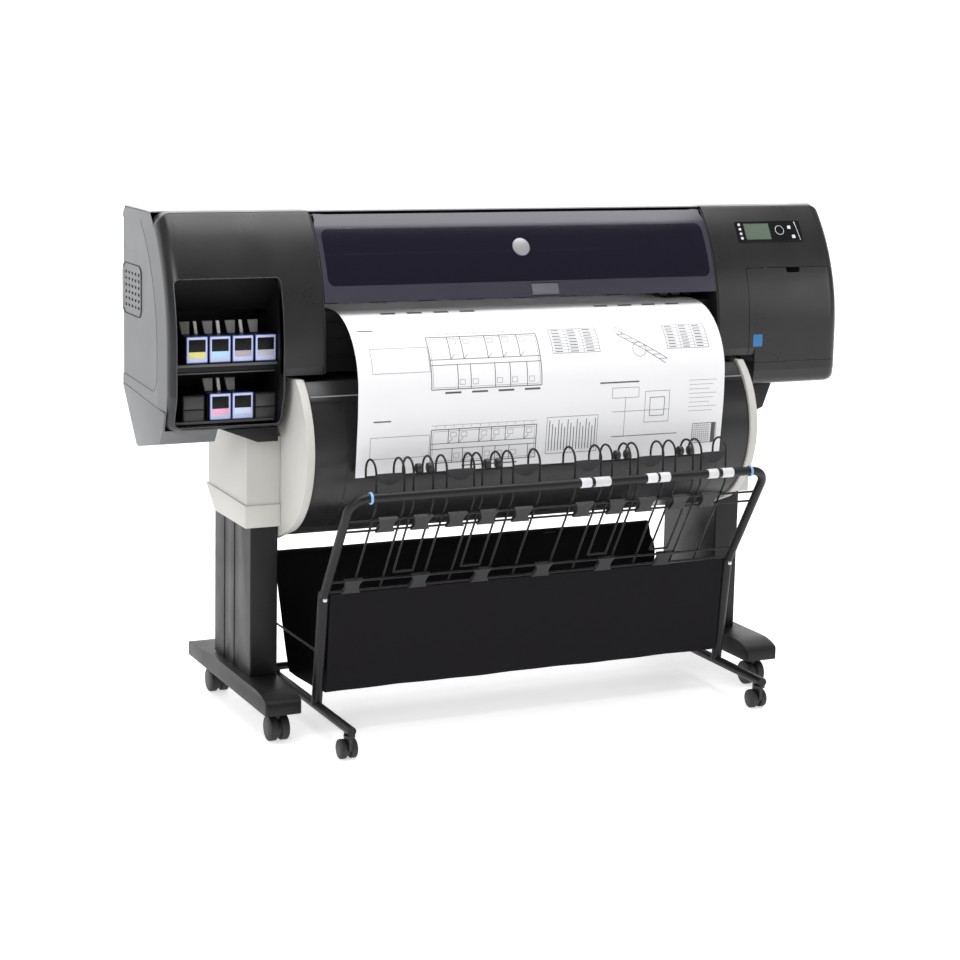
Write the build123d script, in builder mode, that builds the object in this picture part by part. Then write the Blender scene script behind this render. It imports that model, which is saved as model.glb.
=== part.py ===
"""A 42 inch large format plotter on a wheeled stand, with its output bin, a loaded sheet and two paper rolls.

Millimetres. +Z is up, the front faces -Y, and X = 0 is the middle of the machine's width.
The origin is on the floor, under the middle of the whole object.
"""

from build123d import *
import math
import os

os.makedirs("parts", exist_ok=True)

# Driving dimensions
overall_width = 1974
sheet_width = 1067
top_z = 1340
rear_y = 258
bulge_y = -147
bulge_z = 1000
face_radius = 524
wall = 3.5
gap = 1.5
running_gap = 0.05

# The two housings stand each side of a centre bay that the window closes.
half_width = overall_width / 2
housing_outer = half_width - 6
housing_inner = 582
plate_outer = 580.5
plate_inner = 576.5
window_half = 575
window_low_z = 1115
window_high_z = 1331
step_z = 935
left_low_z = 802
left_step = 684
right_low_z = 850
right_step = 700
corner_round = 40
housing_back = 28
face_centre_y = bulge_y + face_radius

# Stand
column_inner = 661
column_outer = 736
column_front = -37
column_rear = 251
column_wall = 5
foot_front = -230
foot_rear = 410
foot_low = 80
foot_high = 130

# Roll module between the two columns
module_end_outer = 660
module_end_inner = 638
module_top_z = 925

# Output bin
bin_half = 600
tube_radius = 12
wire_radius = 2.8
base_bar_z = 77
elbow = (-205, 367)
bar_centre = (-385, 660)
rear_tube = (215, 388)


def face_y(z, inset=0.0):
    """Y of the curved front at height z, or of the surface that lies inset behind it."""
    radius = face_radius - inset
    if z <= bulge_z:
        return face_centre_y - radius
    return face_centre_y - math.sqrt(radius**2 - (z - bulge_z) ** 2)


def write(builder, label):
    """Labels a finished piece and writes it as its own STEP file."""
    builder.part.label = label
    export_step(builder.part, f"parts/{label}.step")


def body_block(near, far, low_z, inset, rounded_end=None):
    """A length of the body along X, from its curved front to its back, as a closed block."""
    high = top_z - inset
    low = low_z + inset
    lower_slope = 30 if low_z < 830 else 6
    bend_z = 890 if low_z < 890 else low_z + 20
    with BuildPart(mode=Mode.PRIVATE) as block:
        with BuildSketch(Plane.YZ.offset(near)) as outline:
            with BuildLine():
                ThreePointArc(
                    (face_y(high, inset), high),
                    (face_y(1190, inset), 1190),
                    (face_y(bulge_z, inset), bulge_z),
                )
                Polyline(
                    (face_y(bulge_z, inset), bulge_z),
                    (face_y(bulge_z, inset), bend_z),
                    (face_y(bulge_z, inset) + lower_slope, low),
                    (rear_y, low),
                    (rear_y, high),
                    (face_y(high, inset), high),
                )
            make_face()
            front_corners = outline.vertices().filter_by(lambda corner: corner.X < 50)
            fillet(front_corners.sort_by(Axis.Y)[-1], 16 - inset)
        extrude(amount=far - near)
        if rounded_end is not None:
            end_rim = block.edges().filter_by(
                lambda e: abs(e.center().X - rounded_end) < 0.01 and e.center().Y < -60 and e.length > 20
            )
            fillet(end_rim.filter_by(lambda e: e.center().Z > low + 5), corner_round - inset)
            front_edges = block.edges().filter_by(lambda e: e.center().Y < -60)
            fillet(front_edges.filter_by(lambda e: abs(e.center().Z - low) < 0.01), 24 - inset)
    return block.part


def mirrored(shape):
    """The same shape on the other side of the machine's middle."""
    return shape.mirror(Plane.YZ)


def shell(low_z, step, outer):
    """One side housing's skin: open behind, below and along the back of its roof."""
    sign = 1 if outer > 0 else -1
    deep_span = sorted((step, outer))
    shallow_span = sorted((housing_inner * sign, step))
    deep_hollow = sorted((step + wall * sign, outer - wall * sign))
    shallow_hollow = sorted(((housing_inner - 1) * sign, step + wall * sign))
    middle_x = (housing_inner + housing_outer) / 2 * sign
    with BuildPart(mode=Mode.PRIVATE) as skin:
        add(body_block(*deep_span, low_z, 0, outer))
        add(body_block(*shallow_span, step_z, 0))
        add(body_block(*deep_hollow, low_z, wall, outer - wall * sign), mode=Mode.SUBTRACT)
        add(body_block(*shallow_hollow, step_z, wall), mode=Mode.SUBTRACT)
        # the roof behind the front lip and the whole back are other covers
        with BuildSketch(Plane.XY.offset(700)):
            with Locations((middle_x, housing_back + 200)):
                Rectangle(500, 400)
        extrude(amount=700, mode=Mode.SUBTRACT)
    return skin.part


# Chassis: two side plates on a box beam that runs the width of the body
with BuildPart() as chassis:
    with BuildSketch(Plane.YZ.offset(plate_inner)):
        with BuildLine():
            ThreePointArc(
                (face_y(1332, 1), 1332),
                (face_y(1190, 1), 1190),
                (face_y(bulge_z, 1), bulge_z),
            )
            Polyline(
                (face_y(bulge_z, 1), bulge_z),
                (face_y(bulge_z, 1), step_z + 2),
                (64, step_z + 2),
                (64, 866),
                (240, 866),
                (240, 1332),
                (face_y(1332, 1), 1332),
            )
        make_face()
    extrude(amount=plate_outer - plate_inner)
    mirror(about=Plane.YZ)
    beam_low, beam_high, beam_front, beam_back = 866, 962, 90, 235
    beam_middle = ((beam_front + beam_back) / 2, (beam_low + beam_high) / 2)
    with BuildSketch(Plane.YZ.offset(-960)):
        with Locations(beam_middle):
            Rectangle(beam_back - beam_front, beam_high - beam_low)
            Rectangle(beam_back - beam_front - 6, beam_high - beam_low - 6, mode=Mode.SUBTRACT)
    extrude(amount=1920)
    # bearings for the feed roller, the pinch shaft and the window's pins
    feed_centre = (45, 1076)
    feed_radius = 14
    pinch_centre = (45, 1099.8)
    pinch_radius = 8
    journal_radius = 6
    pinch_shaft_radius = 4
    window_axis = (-19, 1327)
    window_pin_radius = 3
    with BuildSketch(Plane.YZ.offset(-600)):
        with Locations(feed_centre):
            Circle(journal_radius + running_gap)
        with Locations(pinch_centre):
            Circle(pinch_shaft_radius + running_gap)
        with Locations(window_axis):
            Circle(window_pin_radius + running_gap)
    extrude(amount=1200, mode=Mode.SUBTRACT)
write(chassis, "chassis")

# Left housing, the dark moulding with the ink bay opening in its front
bay_left, bay_right, bay_low, bay_high = -965, -688, 812, 1182
left_skin = shell(left_low_z, -left_step, -housing_outer)
with BuildPart() as left_housing:
    add(left_skin)
    with BuildSketch(Plane.XZ.offset(60)):
        with Locations(((bay_left + bay_right) / 2, (bay_low + bay_high) / 2)):
            RectangleRounded(bay_right - bay_left, bay_high - bay_low, 14)
    extrude(amount=120, mode=Mode.SUBTRACT)
write(left_housing, "left_housing")

# Service door: the part of the right housing's skin that lies inside a circle about its hinge line
door_left = 680
hinge_z = 914
hinge_y = face_y(hinge_z) + 0.3
door_reach = 261


def door_zone(radius, left, low):
    """The space that the door fills, round its hinge, down to its lower edge."""
    with BuildPart(mode=Mode.PRIVATE) as zone:
        with BuildSketch(Plane.YZ.offset(left)):
            with Locations((hinge_y, hinge_z)):
                Circle(radius)
            with Locations((hinge_y, low - 400)):
                Rectangle(800, 800, mode=Mode.SUBTRACT)
            with Locations((-70 + 400, hinge_z)):
                Rectangle(800, 900, mode=Mode.SUBTRACT)
        extrude(amount=housing_outer + 5 - left)
    return zone.part


right_skin = shell(right_low_z, right_step, housing_outer)

# Control panel, set square into the curved front at its own tilt
panel_z = 1271
panel_width = 212
panel_height = 64
panel_tilt = math.asin((panel_z - bulge_z) / face_radius)
panel_normal = (0, -math.cos(panel_tilt), math.sin(panel_tilt))
panel_plane = Plane(origin=(778, face_y(panel_z), panel_z), x_dir=(1, 0, 0), z_dir=panel_normal)
panel_depth = 6

with BuildPart() as right_housing:
    add(right_skin)
    add(door_zone(door_reach + gap, door_left - gap, hinge_z - 0.9), mode=Mode.SUBTRACT)
    with BuildSketch(panel_plane.offset(-30)):
        RectangleRounded(panel_width + 1, panel_height + 1, 5)
    extrude(amount=60, mode=Mode.SUBTRACT)
write(right_housing, "right_housing")

door_backing = body_block(door_left - 100, housing_outer - 8, right_low_z - 60, 8, housing_outer - 8)
with BuildPart() as service_door:
    add(right_skin)
    add(door_zone(door_reach, door_left, hinge_z + 0.3), mode=Mode.INTERSECT)
    add(door_backing, mode=Mode.SUBTRACT)
    # finger recess at the top edge
    with BuildSketch(Plane.XZ.offset(-face_y(1165))):
        with Locations((832, 1168)):
            RectangleRounded(44, 16, 5)
    extrude(amount=-10, both=True, mode=Mode.SUBTRACT)
write(service_door, "service_door")

display_size = (82, 50)
display_at = (-38, 0)
small_button = 7
small_button_at = [(-94, 21 - 14 * row) for row in range(4)]
pad_radius = 17
pad_at = (34, 2)
side_button = (10, 10)
side_button_at = [(68, 11), (76, -18)]
button_gap = 0.4
with BuildPart() as panel_bezel:
    with BuildSketch(panel_plane.offset(-panel_depth)):
        RectangleRounded(panel_width, panel_height, 4.5)
    extrude(amount=panel_depth + 1.5)
    fillet(panel_bezel.faces().sort_by(Axis((0, 0, 0), panel_normal))[-1].edges(), 1)
    with BuildSketch(panel_plane.offset(-2)):
        with Locations(display_at):
            Rectangle(*display_size)
    extrude(amount=10, mode=Mode.SUBTRACT)
    with BuildSketch(panel_plane.offset(-panel_depth)):
        with Locations(*small_button_at):
            Rectangle(small_button + button_gap * 2, small_button + button_gap * 2)
        with Locations(pad_at):
            Circle(pad_radius + button_gap)
        with Locations(*side_button_at):
            Rectangle(side_button[0] + button_gap * 2, side_button[1] + button_gap * 2)
    extrude(amount=20, mode=Mode.SUBTRACT)
write(panel_bezel, "panel_bezel")

with BuildPart() as panel_display:
    with BuildSketch(panel_plane.offset(-2)):
        with Locations(display_at):
            Rectangle(display_size[0] - 0.4, display_size[1] - 0.4)
    extrude(amount=2.6)
write(panel_display, "panel_display")

for row, place in enumerate(small_button_at, 1):
    with BuildPart() as menu_button:
        with BuildSketch(panel_plane.offset(-panel_depth + 1)):
            with Locations(place):
                RectangleRounded(small_button, small_button, 1.2)
        extrude(amount=panel_depth + 1.8)
    write(menu_button, f"menu_button_{row}")

with BuildPart() as cursor_pad:
    with BuildSketch(panel_plane.offset(-panel_depth + 1)):
        with Locations(pad_at):
            Circle(pad_radius)
    extrude(amount=panel_depth + 1.6)
    with BuildSketch(panel_plane.offset(2)):
        with Locations(pad_at):
            Circle(8)
            Circle(7, mode=Mode.SUBTRACT)
    extrude(amount=2, mode=Mode.SUBTRACT)
write(cursor_pad, "cursor_pad")

for name, place in zip(("back_button", "cancel_button"), side_button_at):
    with BuildPart() as side_key:
        with BuildSketch(panel_plane.offset(-panel_depth + 1)):
            with Locations(place):
                RectangleRounded(*side_button, 2)
        extrude(amount=panel_depth + 1.8)
    write(side_key, name)


# End covers: grey plates over the outer sides, bevelled at the front, with a shallow recess behind the bevel
bevel_inset = corner_round + 60
cover_rear_y = rear_y - 4
cover_rear_z = top_z - 4


def end_cover_outline(offset_x, inset, low_front, low_rear):
    """The cover's outline in a plane of constant X, its front edge lying inset behind the body's front."""
    high = top_z - 4
    front = face_y(bulge_z, inset)
    seam_front = face_y(bulge_z, corner_round + 2)
    low = low_front + (low_rear - low_front) * (front - seam_front) / (cover_rear_y - seam_front)
    with BuildSketch(Plane.YZ.offset(offset_x), mode=Mode.PRIVATE) as outline:
        with BuildLine():
            ThreePointArc(
                (face_y(high, inset), high),
                (face_y(1190, inset), 1190),
                (face_y(bulge_z, inset), bulge_z),
            )
            Polyline(
                (front, bulge_z),
                (front, low),
                (cover_rear_y, low_rear),
                (cover_rear_y, cover_rear_z),
                (face_y(high, inset), high),
            )
        make_face()
        fillet(outline.vertices().sort_by(lambda corner: corner.X + corner.Y)[-1], 26)
    return outline.sketch


def end_cover(low_front, low_rear):
    """One end cover, made on the +X side."""
    with BuildPart(mode=Mode.PRIVATE) as cover:
        add(end_cover_outline(housing_outer, corner_round + 2, low_front, low_rear))
        add(end_cover_outline(half_width, bevel_inset, low_front, low_rear))
        loft(ruled=True)
        # shallow recess behind the bevel, open towards the back
        with BuildSketch(Plane.YZ.offset(half_width - 2)) as recess:
            with BuildLine():
                ThreePointArc(
                    (face_y(1310, bevel_inset + 4), 1310),
                    (face_y(1180, bevel_inset + 4), 1180),
                    (face_y(bulge_z, bevel_inset + 4), bulge_z),
                )
                Polyline(
                    (face_y(bulge_z, bevel_inset + 4), bulge_z),
                    (face_y(bulge_z, bevel_inset + 4), low_front + 38),
                    (rear_y + 10, low_front + 52),
                    (rear_y + 10, 1310),
                    (face_y(1310, bevel_inset + 4), 1310),
                )
            make_face()
            fillet(recess.vertices().sort_by(lambda corner: corner.X + corner.Y)[0], 45)
        extrude(amount=4, mode=Mode.SUBTRACT)
    return cover.part


# the left cover also has the grid of air holes in a framed panel
vent_columns, vent_rows = 5, 6
vent_middle = (175, 1128)
with BuildPart() as left_end_cover:
    add(mirrored(end_cover(850, 878)))
    with BuildSketch(Plane.YZ.offset(-housing_outer - 12)):
        with Locations(vent_middle):
            with GridLocations(28, 17, vent_columns, vent_rows):
                SlotOverall(15, 8)
    extrude(amount=14, mode=Mode.SUBTRACT)
    with BuildSketch(Plane.YZ.offset(-half_width - 0.5)):
        with Locations(vent_middle):
            RectangleRounded(164, 134, 24)
            RectangleRounded(158, 128, 21, mode=Mode.SUBTRACT)
    extrude(amount=3, mode=Mode.SUBTRACT)
write(left_end_cover, "left_end_cover")

with BuildPart() as right_end_cover:
    add(end_cover(right_low_z, right_low_z))
write(right_end_cover, "right_end_cover")

# Base tray: the grey pan under the left housing, with a floor that slopes down to the back
tray_right = -842
with BuildPart() as left_base_tray:
    for inset, mode in ((0, Mode.ADD), (3, Mode.SUBTRACT)):
        with BuildSketch(Plane.YZ.offset(-half_width + inset)):
            Polygon(
                (-104 + inset * 1.5, 849),
                (-88 + inset * 1.2, left_low_z - 1),
                (-62 + inset * 0.8, 764 + inset),
                (118, 729 + inset),
                (136 - inset, 731 + inset),
                (rear_y + 2 - inset * 1.6, 876 + inset * 0.2),
                align=None,
            )
        extrude(amount=tray_right + half_width - 2 * inset, mode=mode)
    with BuildSketch(Plane.YZ.offset(-housing_outer - 0.2)):
        Polygon((-150, left_low_z - 1), (-150, 1000), (300, 1000), (300, left_low_z - 1), align=None)
    extrude(amount=300, mode=Mode.SUBTRACT)
write(left_base_tray, "left_base_tray")

# Skirts: black mouldings between the body and the tops of the two columns
with BuildPart() as body_skirts:
    with BuildSketch(Plane.XZ.offset(52)):
        Polygon((-840, left_low_z - 1), (-685, left_low_z - 1), (-685, 762), (-740, 762), align=None)
    extrude(amount=48)
    with BuildSketch(Plane.XZ.offset(52)):
        Polygon((702, 849), (790, 849), (764, 778), (740, 769), (702, 769), align=None)
    extrude(amount=48)
write(body_skirts, "body_skirts")

# Ink bay: an open-fronted black liner with a shelf for each row of cartridges
cartridge_size = (56.5, 68)
cartridge_depth = 150
cartridge_front = -100
upper_row_z = 970
lower_row_z = 825
upper_slots = [-901, -841, -781, -721]
lower_slots = [-840, -781]
with BuildPart() as ink_bay:
    liner_left, liner_right = bay_left - 4, bay_right + 0.2
    liner_middle = (liner_left + liner_right) / 2
    liner_width = liner_right - liner_left
    liner_low, liner_high = bay_low - 2, bay_high + 5
    # the box's front edges follow the housing's skin
    with BuildSketch(Plane.YZ.offset(liner_left)):
        Polygon(
            (64, liner_low),
            (-80, liner_low),
            (-104, 850),
            (-118, 900),
            (-124, bulge_z),
            (-92, liner_high),
            (64, liner_high),
            align=None,
        )
    extrude(amount=liner_width)
    with BuildSketch(Plane.XZ.offset(130)):
        with Locations((liner_middle, (liner_low + liner_high) / 2)):
            Rectangle(liner_width - 6, liner_high - liner_low - 6)
    extrude(amount=-191, mode=Mode.SUBTRACT)
    # sloping ceiling, the block between the rows, then the two shelves with a lip
    with BuildSketch(Plane.YZ.offset(liner_left)):
        Polygon((-90, 1180), (-20, 1092), (62, 1092), (62, 1180), align=None)
        Polygon((-84, 940), (62, 940), (62, upper_row_z - 9), (-92, upper_row_z - 9), align=None)
        for floor_z, lip_y in ((upper_row_z, cartridge_front - 6), (lower_row_z, cartridge_front + 2)):
            shelf_high, shelf_low = floor_z - 1, floor_z - 9
            Polygon((lip_y, shelf_high), (lip_y, shelf_low), (62, shelf_low), (62, shelf_high), align=None)
    extrude(amount=liner_width)
    # low fences guide each cartridge
    fences = [(x + 30, upper_row_z) for x in upper_slots[:-1]]
    fences += [(-871, lower_row_z), (-810.5, lower_row_z), (-751, lower_row_z)]
    for x, floor_z in fences:
        with BuildSketch(Plane.YZ.offset(x - 1)):
            with Locations((-14, floor_z + 29)):
                Rectangle(150, 62)
        extrude(amount=2)
    # the two unused places of the lower row are closed by blanks
    for x in (-908.5, -720):
        with BuildSketch(Plane.XZ.offset(-cartridge_front - 4)):
            with Locations((x, lower_row_z + 31)):
                RectangleRounded(56, 66, 3)
        extrude(amount=-150)
write(ink_bay, "ink_bay")

# Ink cartridges, one body each, with a grip window in the front
cartridge_places = [(x, upper_row_z) for x in upper_slots] + [(x, lower_row_z) for x in lower_slots]
for number, (x, floor_z) in enumerate(cartridge_places, 1):
    with BuildPart() as cartridge:
        with BuildSketch(Plane.XZ.offset(-cartridge_front)):
            with Locations((x, floor_z + cartridge_size[1] / 2)):
                RectangleRounded(*cartridge_size, 6)
        extrude(amount=-cartridge_depth)
        with BuildSketch(Plane.XZ.offset(-cartridge_front)):
            with Locations((x, floor_z + 44)):
                RectangleRounded(40, 30, 2)
        extrude(amount=-12, mode=Mode.SUBTRACT)
    write(cartridge, f"ink_cartridge_{number}")

# Top cover and rear cover
with BuildPart() as top_cover:
    with BuildSketch(Plane.XY.offset(top_z - 3)):
        with Locations((0, (housing_back + gap + rear_y) / 2)):
            Rectangle(housing_outer * 2, rear_y - housing_back - gap)
        with Locations((0, 20)):
            Rectangle(housing_inner * 2 - 2, 60)
    extrude(amount=3)
    # stiffening ribs underneath, clear of the side plates
    with BuildSketch(Plane.XY.offset(top_z - 7)):
        with Locations((0, 60), (0, 200)):
            Rectangle(housing_inner * 2 - 20, 4)
    extrude(amount=4.5)
    rear_edges = top_cover.edges().filter_by(Axis.X).filter_by(lambda e: e.center().Y > rear_y - 1)
    fillet(rear_edges.sort_by(Axis.Z)[-1], 2)
write(top_cover, "top_cover")

inlet_at = (820, 930)
with BuildPart() as rear_cover:
    with BuildSketch(Plane.XZ.offset(-rear_y + 3)):
        with BuildLine():
            Polyline(
                (-housing_outer, 880),
                (-640, 866),
                (640, 866),
                (housing_outer, right_low_z),
                (housing_outer, top_z - 3.2),
                (-housing_outer, top_z - 3.2),
                close=True,
            )
        make_face()
        with Locations(inlet_at):
            RectangleRounded(48, 30, 3, mode=Mode.SUBTRACT)
    extrude(amount=-3)
    # cooling slots, then the mains inlet: a walled socket with three pins
    with BuildSketch(Plane.XZ.offset(-rear_y + 3)):
        with Locations((-700, 1180), (700, 1180)):
            with GridLocations(0, 16, 1, 7):
                SlotOverall(220, 6)
    extrude(amount=-3, mode=Mode.SUBTRACT)
    with BuildSketch(Plane.XZ.offset(-rear_y + 20)):
        with Locations(inlet_at):
            RectangleRounded(48, 30, 3)
            RectangleRounded(42, 24, 3, mode=Mode.SUBTRACT)
    extrude(amount=-20)
    with BuildSketch(Plane.XZ.offset(-rear_y + 22)):
        with Locations(inlet_at):
            Rectangle(48, 30)
    extrude(amount=-3)
    with BuildSketch(Plane.XZ.offset(-rear_y + 20)):
        with Locations((inlet_at[0] - 11, inlet_at[1]), inlet_at, (inlet_at[0] + 11, inlet_at[1])):
            Rectangle(2, 6)
    extrude(amount=-15)
write(rear_cover, "rear_cover")

# Window: one curved cover of tinted plastic, hung on two pins at its top edge
latch_at = (50, window_low_z + 20)
latch_size = (78, 30)
window_sheet = 4
with BuildPart() as window:
    with BuildSketch(Plane.YZ.offset(-window_half)):
        with BuildLine():
            ThreePointArc(
                (face_y(window_high_z), window_high_z),
                (face_y(1220), 1220),
                (face_y(window_low_z), window_low_z),
            )
            inner_low = (face_y(window_low_z, window_sheet), window_low_z)
            inner_high = (face_y(window_high_z, window_sheet), window_high_z)
            Line((face_y(window_low_z), window_low_z), inner_low)
            ThreePointArc(inner_low, (face_y(1220, window_sheet), 1220), inner_high)
            Line(inner_high, (face_y(window_high_z), window_high_z))
        make_face()
    extrude(amount=window_half * 2)
    with BuildSketch(Plane.XZ.offset(200)):
        with Locations((0, window_high_z - 200)):
            RectangleRounded(window_half * 2, 400, 30)
    extrude(amount=-300, mode=Mode.INTERSECT)
    # hinge ears with their pins
    for side in (-1, 1):
        with BuildSketch(Plane.YZ.offset(side * 545)):
            with Locations(window_axis):
                Circle(5)
            Polygon(
                (face_y(1318, 1), 1318),
                (window_axis[0], window_axis[1] - 5),
                (window_axis[0], window_axis[1] + 3),
                (face_y(1330, 1), 1330),
                align=None,
            )
        extrude(amount=side * 25)
        with BuildSketch(Plane.YZ.offset(side * 560)):
            with Locations(window_axis):
                Circle(window_pin_radius)
        extrude(amount=side * 19)
    with BuildSketch(Plane.XZ.offset(120)):
        with Locations(latch_at):
            Rectangle(latch_size[0] + 2, latch_size[1] + 2)
    extrude(amount=40, mode=Mode.SUBTRACT)
write(window, "window")

# Latch: a finger tab in a notch of the window's lower border
latch_axis = (face_y(1146) + 3, 1146)
with BuildPart() as window_latch:
    with BuildSketch(Plane.YZ.offset(latch_at[0] - latch_size[0] / 2)):
        Polygon(
            (face_y(1148) + 0.5, 1149),
            (face_y(1122) - 3, 1128),
            (face_y(1121) - 3, 1121),
            (face_y(1121) + 3, 1121),
            (face_y(1148) + 5, 1149),
            align=None,
        )
    extrude(amount=latch_size[0])
write(window_latch, "window_latch")

# Platen with its ribbed front apron
with BuildPart() as platen:
    apron_top = (-98, 1089)
    apron_foot = (-112, 936)
    with BuildSketch(Plane.YZ.offset(-plate_inner + 0.5)):
        Polygon(
            (25, 1089),
            (25, 1078),
            (-88, 1078),
            (-102, 936),
            apron_foot,
            apron_top,
            align=None,
        )
        apron_slope = (apron_top[0] - apron_foot[0]) / (apron_top[1] - apron_foot[1])
        for level in (1058, 1016, 974):
            rib_y = apron_foot[0] + apron_slope * (level - apron_foot[1])
            with Locations((rib_y - 2, level)):
                Rectangle(8, 5)
    extrude(amount=2 * plate_inner - 1)
write(platen, "platen")

# Carriage rail, carriage and print heads
rail_centre = (70, 1222)
rail_radius = 11
carriage_x = 500
with BuildPart() as carriage_rail:
    with BuildSketch(Plane.YZ.offset(-plate_inner)):
        with Locations(rail_centre):
            Circle(rail_radius)
    extrude(amount=2 * plate_inner)
write(carriage_rail, "carriage_rail")

with BuildPart() as carriage:
    with BuildSketch(Plane.YZ.offset(carriage_x - 62)):
        Polygon(
            (-58, 1118),
            (100, 1118),
            (100, 1262),
            (20, 1262),
            (-40, 1214),
            align=None,
        )
    extrude(amount=124)
    fillet(carriage.edges().filter_by(Axis.X), 6)
    with BuildSketch(Plane.YZ.offset(carriage_x - 70)):
        with Locations(rail_centre):
            Circle(rail_radius + running_gap)
    extrude(amount=140, mode=Mode.SUBTRACT)
write(carriage, "carriage")

with BuildPart() as print_heads:
    with BuildSketch(Plane.XY.offset(1097)):
        with Locations((carriage_x, -18)):
            with GridLocations(38, 0, 3, 1):
                Rectangle(26, 50)
    extrude(amount=21)
write(print_heads, "print_heads")

# Feed roller below the sheet and pinch rollers above it
with BuildPart() as feed_roller:
    with BuildSketch(Plane.YZ.offset(-574)):
        with Locations(feed_centre):
            Circle(feed_radius)
    extrude(amount=1148)
    with BuildSketch(Plane.YZ.offset(-580)):
        with Locations(feed_centre):
            Circle(journal_radius)
    extrude(amount=1160)
write(feed_roller, "feed_roller")

with BuildPart() as pinch_rollers:
    with BuildSketch(Plane.YZ.offset(-580)):
        with Locations(pinch_centre):
            Circle(pinch_shaft_radius)
    extrude(amount=1160)
    for index in range(8):
        with BuildSketch(Plane.YZ.offset(-522 + index * 142)):
            with Locations(pinch_centre):
                Circle(pinch_radius)
        extrude(amount=50)
write(pinch_rollers, "pinch_rollers")


# Roll module: two D-shaped end plates and the curved cover between them
def module_outline(inset):
    """The module's D-shaped outline, closed at the back."""
    with BuildSketch(Plane.YZ, mode=Mode.PRIVATE) as outline:
        with BuildLine():
            lower_front = (-110 + inset * 0.7, 530 + inset * 0.7)
            ThreePointArc((-153 + inset, module_top_z - inset), (-239 + inset, 745), lower_front)
            Polyline(
                lower_front,
                (10, 484 + inset),
                (60, 484 + inset),
                (60, module_top_z - inset),
                (-153 + inset, module_top_z - inset),
            )
        make_face()
    return outline.sketch_local


spindle_radius = 12
spindle_at = [(-86, 818), (-80, 652)]
with BuildPart() as roll_module_ends:
    for side in (-1, 1):
        with BuildSketch(Plane.YZ.offset(module_end_inner if side > 0 else -module_end_outer)):
            add(module_outline(0))
        extrude(amount=module_end_outer - module_end_inner)
    with BuildSketch(Plane.YZ.offset(-module_end_inner - 14)):
        with Locations(*spindle_at):
            Circle(spindle_radius + running_gap)
    extrude(amount=2 * (module_end_inner + 14), mode=Mode.SUBTRACT)
write(roll_module_ends, "roll_module_ends")

with BuildPart() as roll_cover:
    cover_half = module_end_inner - 1
    with BuildSketch(Plane.YZ.offset(-cover_half)):
        add(module_outline(7))
        add(module_outline(11), mode=Mode.SUBTRACT)
        with Locations((60, 705)):
            Rectangle(20, 450, mode=Mode.SUBTRACT)
    extrude(amount=2 * cover_half)
    # the groove along the drawer's upper edge
    with BuildSketch(Plane.YZ.offset(-cover_half)):
        with Locations((-200, 887)):
            Rectangle(30, 3)
    extrude(amount=2 * cover_half, mode=Mode.SUBTRACT)
    with BuildSketch(Plane.YZ.offset(-cover_half)):
        add(module_outline(8.6))
        add(module_outline(11), mode=Mode.SUBTRACT)
        with Locations((-20, 680)):
            Rectangle(180, 600, mode=Mode.SUBTRACT)
        with Locations((-200, 640)):
            Rectangle(300, 470, mode=Mode.SUBTRACT)
    extrude(amount=2 * cover_half)
write(roll_cover, "roll_cover")

# Two spindles, each with a roll of paper on its core between two hubs
roll_half = sheet_width / 2
for name, centre, roll_radius in zip(("upper", "lower"), spindle_at, (72, 66)):
    with BuildPart() as loaded_spindle:
        with BuildSketch(Plane.YZ.offset(-module_end_inner - 13)):
            with Locations(centre):
                Circle(spindle_radius)
        extrude(amount=2 * (module_end_inner + 13))
        with BuildSketch(Plane.YZ.offset(-roll_half)):
            with Locations(centre):
                Circle(roll_radius)
        extrude(amount=2 * roll_half)
        for start in (-roll_half - 14, roll_half):
            with BuildSketch(Plane.YZ.offset(start)):
                with Locations(centre):
                    Circle(52)
            extrude(amount=14)
    write(loaded_spindle, f"{name}_roll_spindle")

# Columns: each has a lower shoulder at the front, under the body, and a taller back that carries the beam
with BuildPart() as columns:
    with BuildSketch(Plane.YZ.offset(column_inner)):
        Polygon(
            (column_front, foot_high),
            (column_rear, foot_high),
            (column_rear, 800),
            (column_rear - 16, 800),
            (column_rear - 16, 866),
            (92, 866),
            (92, 800),
            (66, 800),
            (66, 767),
            (column_front, 767),
            align=None,
        )
    extrude(amount=column_outer - column_inner)
    fillet(columns.edges().filter_by(Axis.Z).filter_by(lambda e: e.length > 400), 4)
    # shallow flutes down the outer face
    with BuildSketch(Plane.XY.offset(foot_high)):
        with Locations((column_outer, 70), (column_outer, 150)):
            Rectangle(4, 46)
    extrude(amount=400, mode=Mode.SUBTRACT)
    # folded sheet, hollow inside
    with BuildSketch(Plane.XY.offset(foot_high + column_wall)):
        with Locations(((column_inner + column_outer) / 2, (column_front + column_rear) / 2)):
            Rectangle(
                column_outer - column_inner - 2 * column_wall,
                column_rear - column_front - 2 * column_wall,
            )
    extrude(amount=767 - foot_high - 2 * column_wall, mode=Mode.SUBTRACT)
    mirror(about=Plane.YZ)
write(columns, "columns")

# Light caps round the tops of the columns, with a band that stands proud at the bottom
with BuildPart() as column_caps:
    for grow, low, high in ((0, 530, 765), (5, 530, 588)):
        with BuildSketch(Plane.YZ.offset(column_inner)):
            Polygon(
                (-48 - grow, low),
                (190, low),
                (262 + grow, low + 62),
                (262 + grow, max(high, low + 63)),
                (-48 - grow, high),
                align=None,
            )
        extrude(amount=751 + grow - column_inner)
    with BuildSketch(Plane.XY.offset(500)):
        with Locations(((column_inner + column_outer) / 2, (column_front + column_rear) / 2)):
            Rectangle(column_outer - column_inner + 1, column_rear - column_front + 1)
        with Locations((column_inner, (column_front + column_rear) / 2)):
            Rectangle(20, column_rear - column_front + 1)
    extrude(amount=300, mode=Mode.SUBTRACT)
    mirror(about=Plane.YZ)
write(column_caps, "column_caps")

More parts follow.
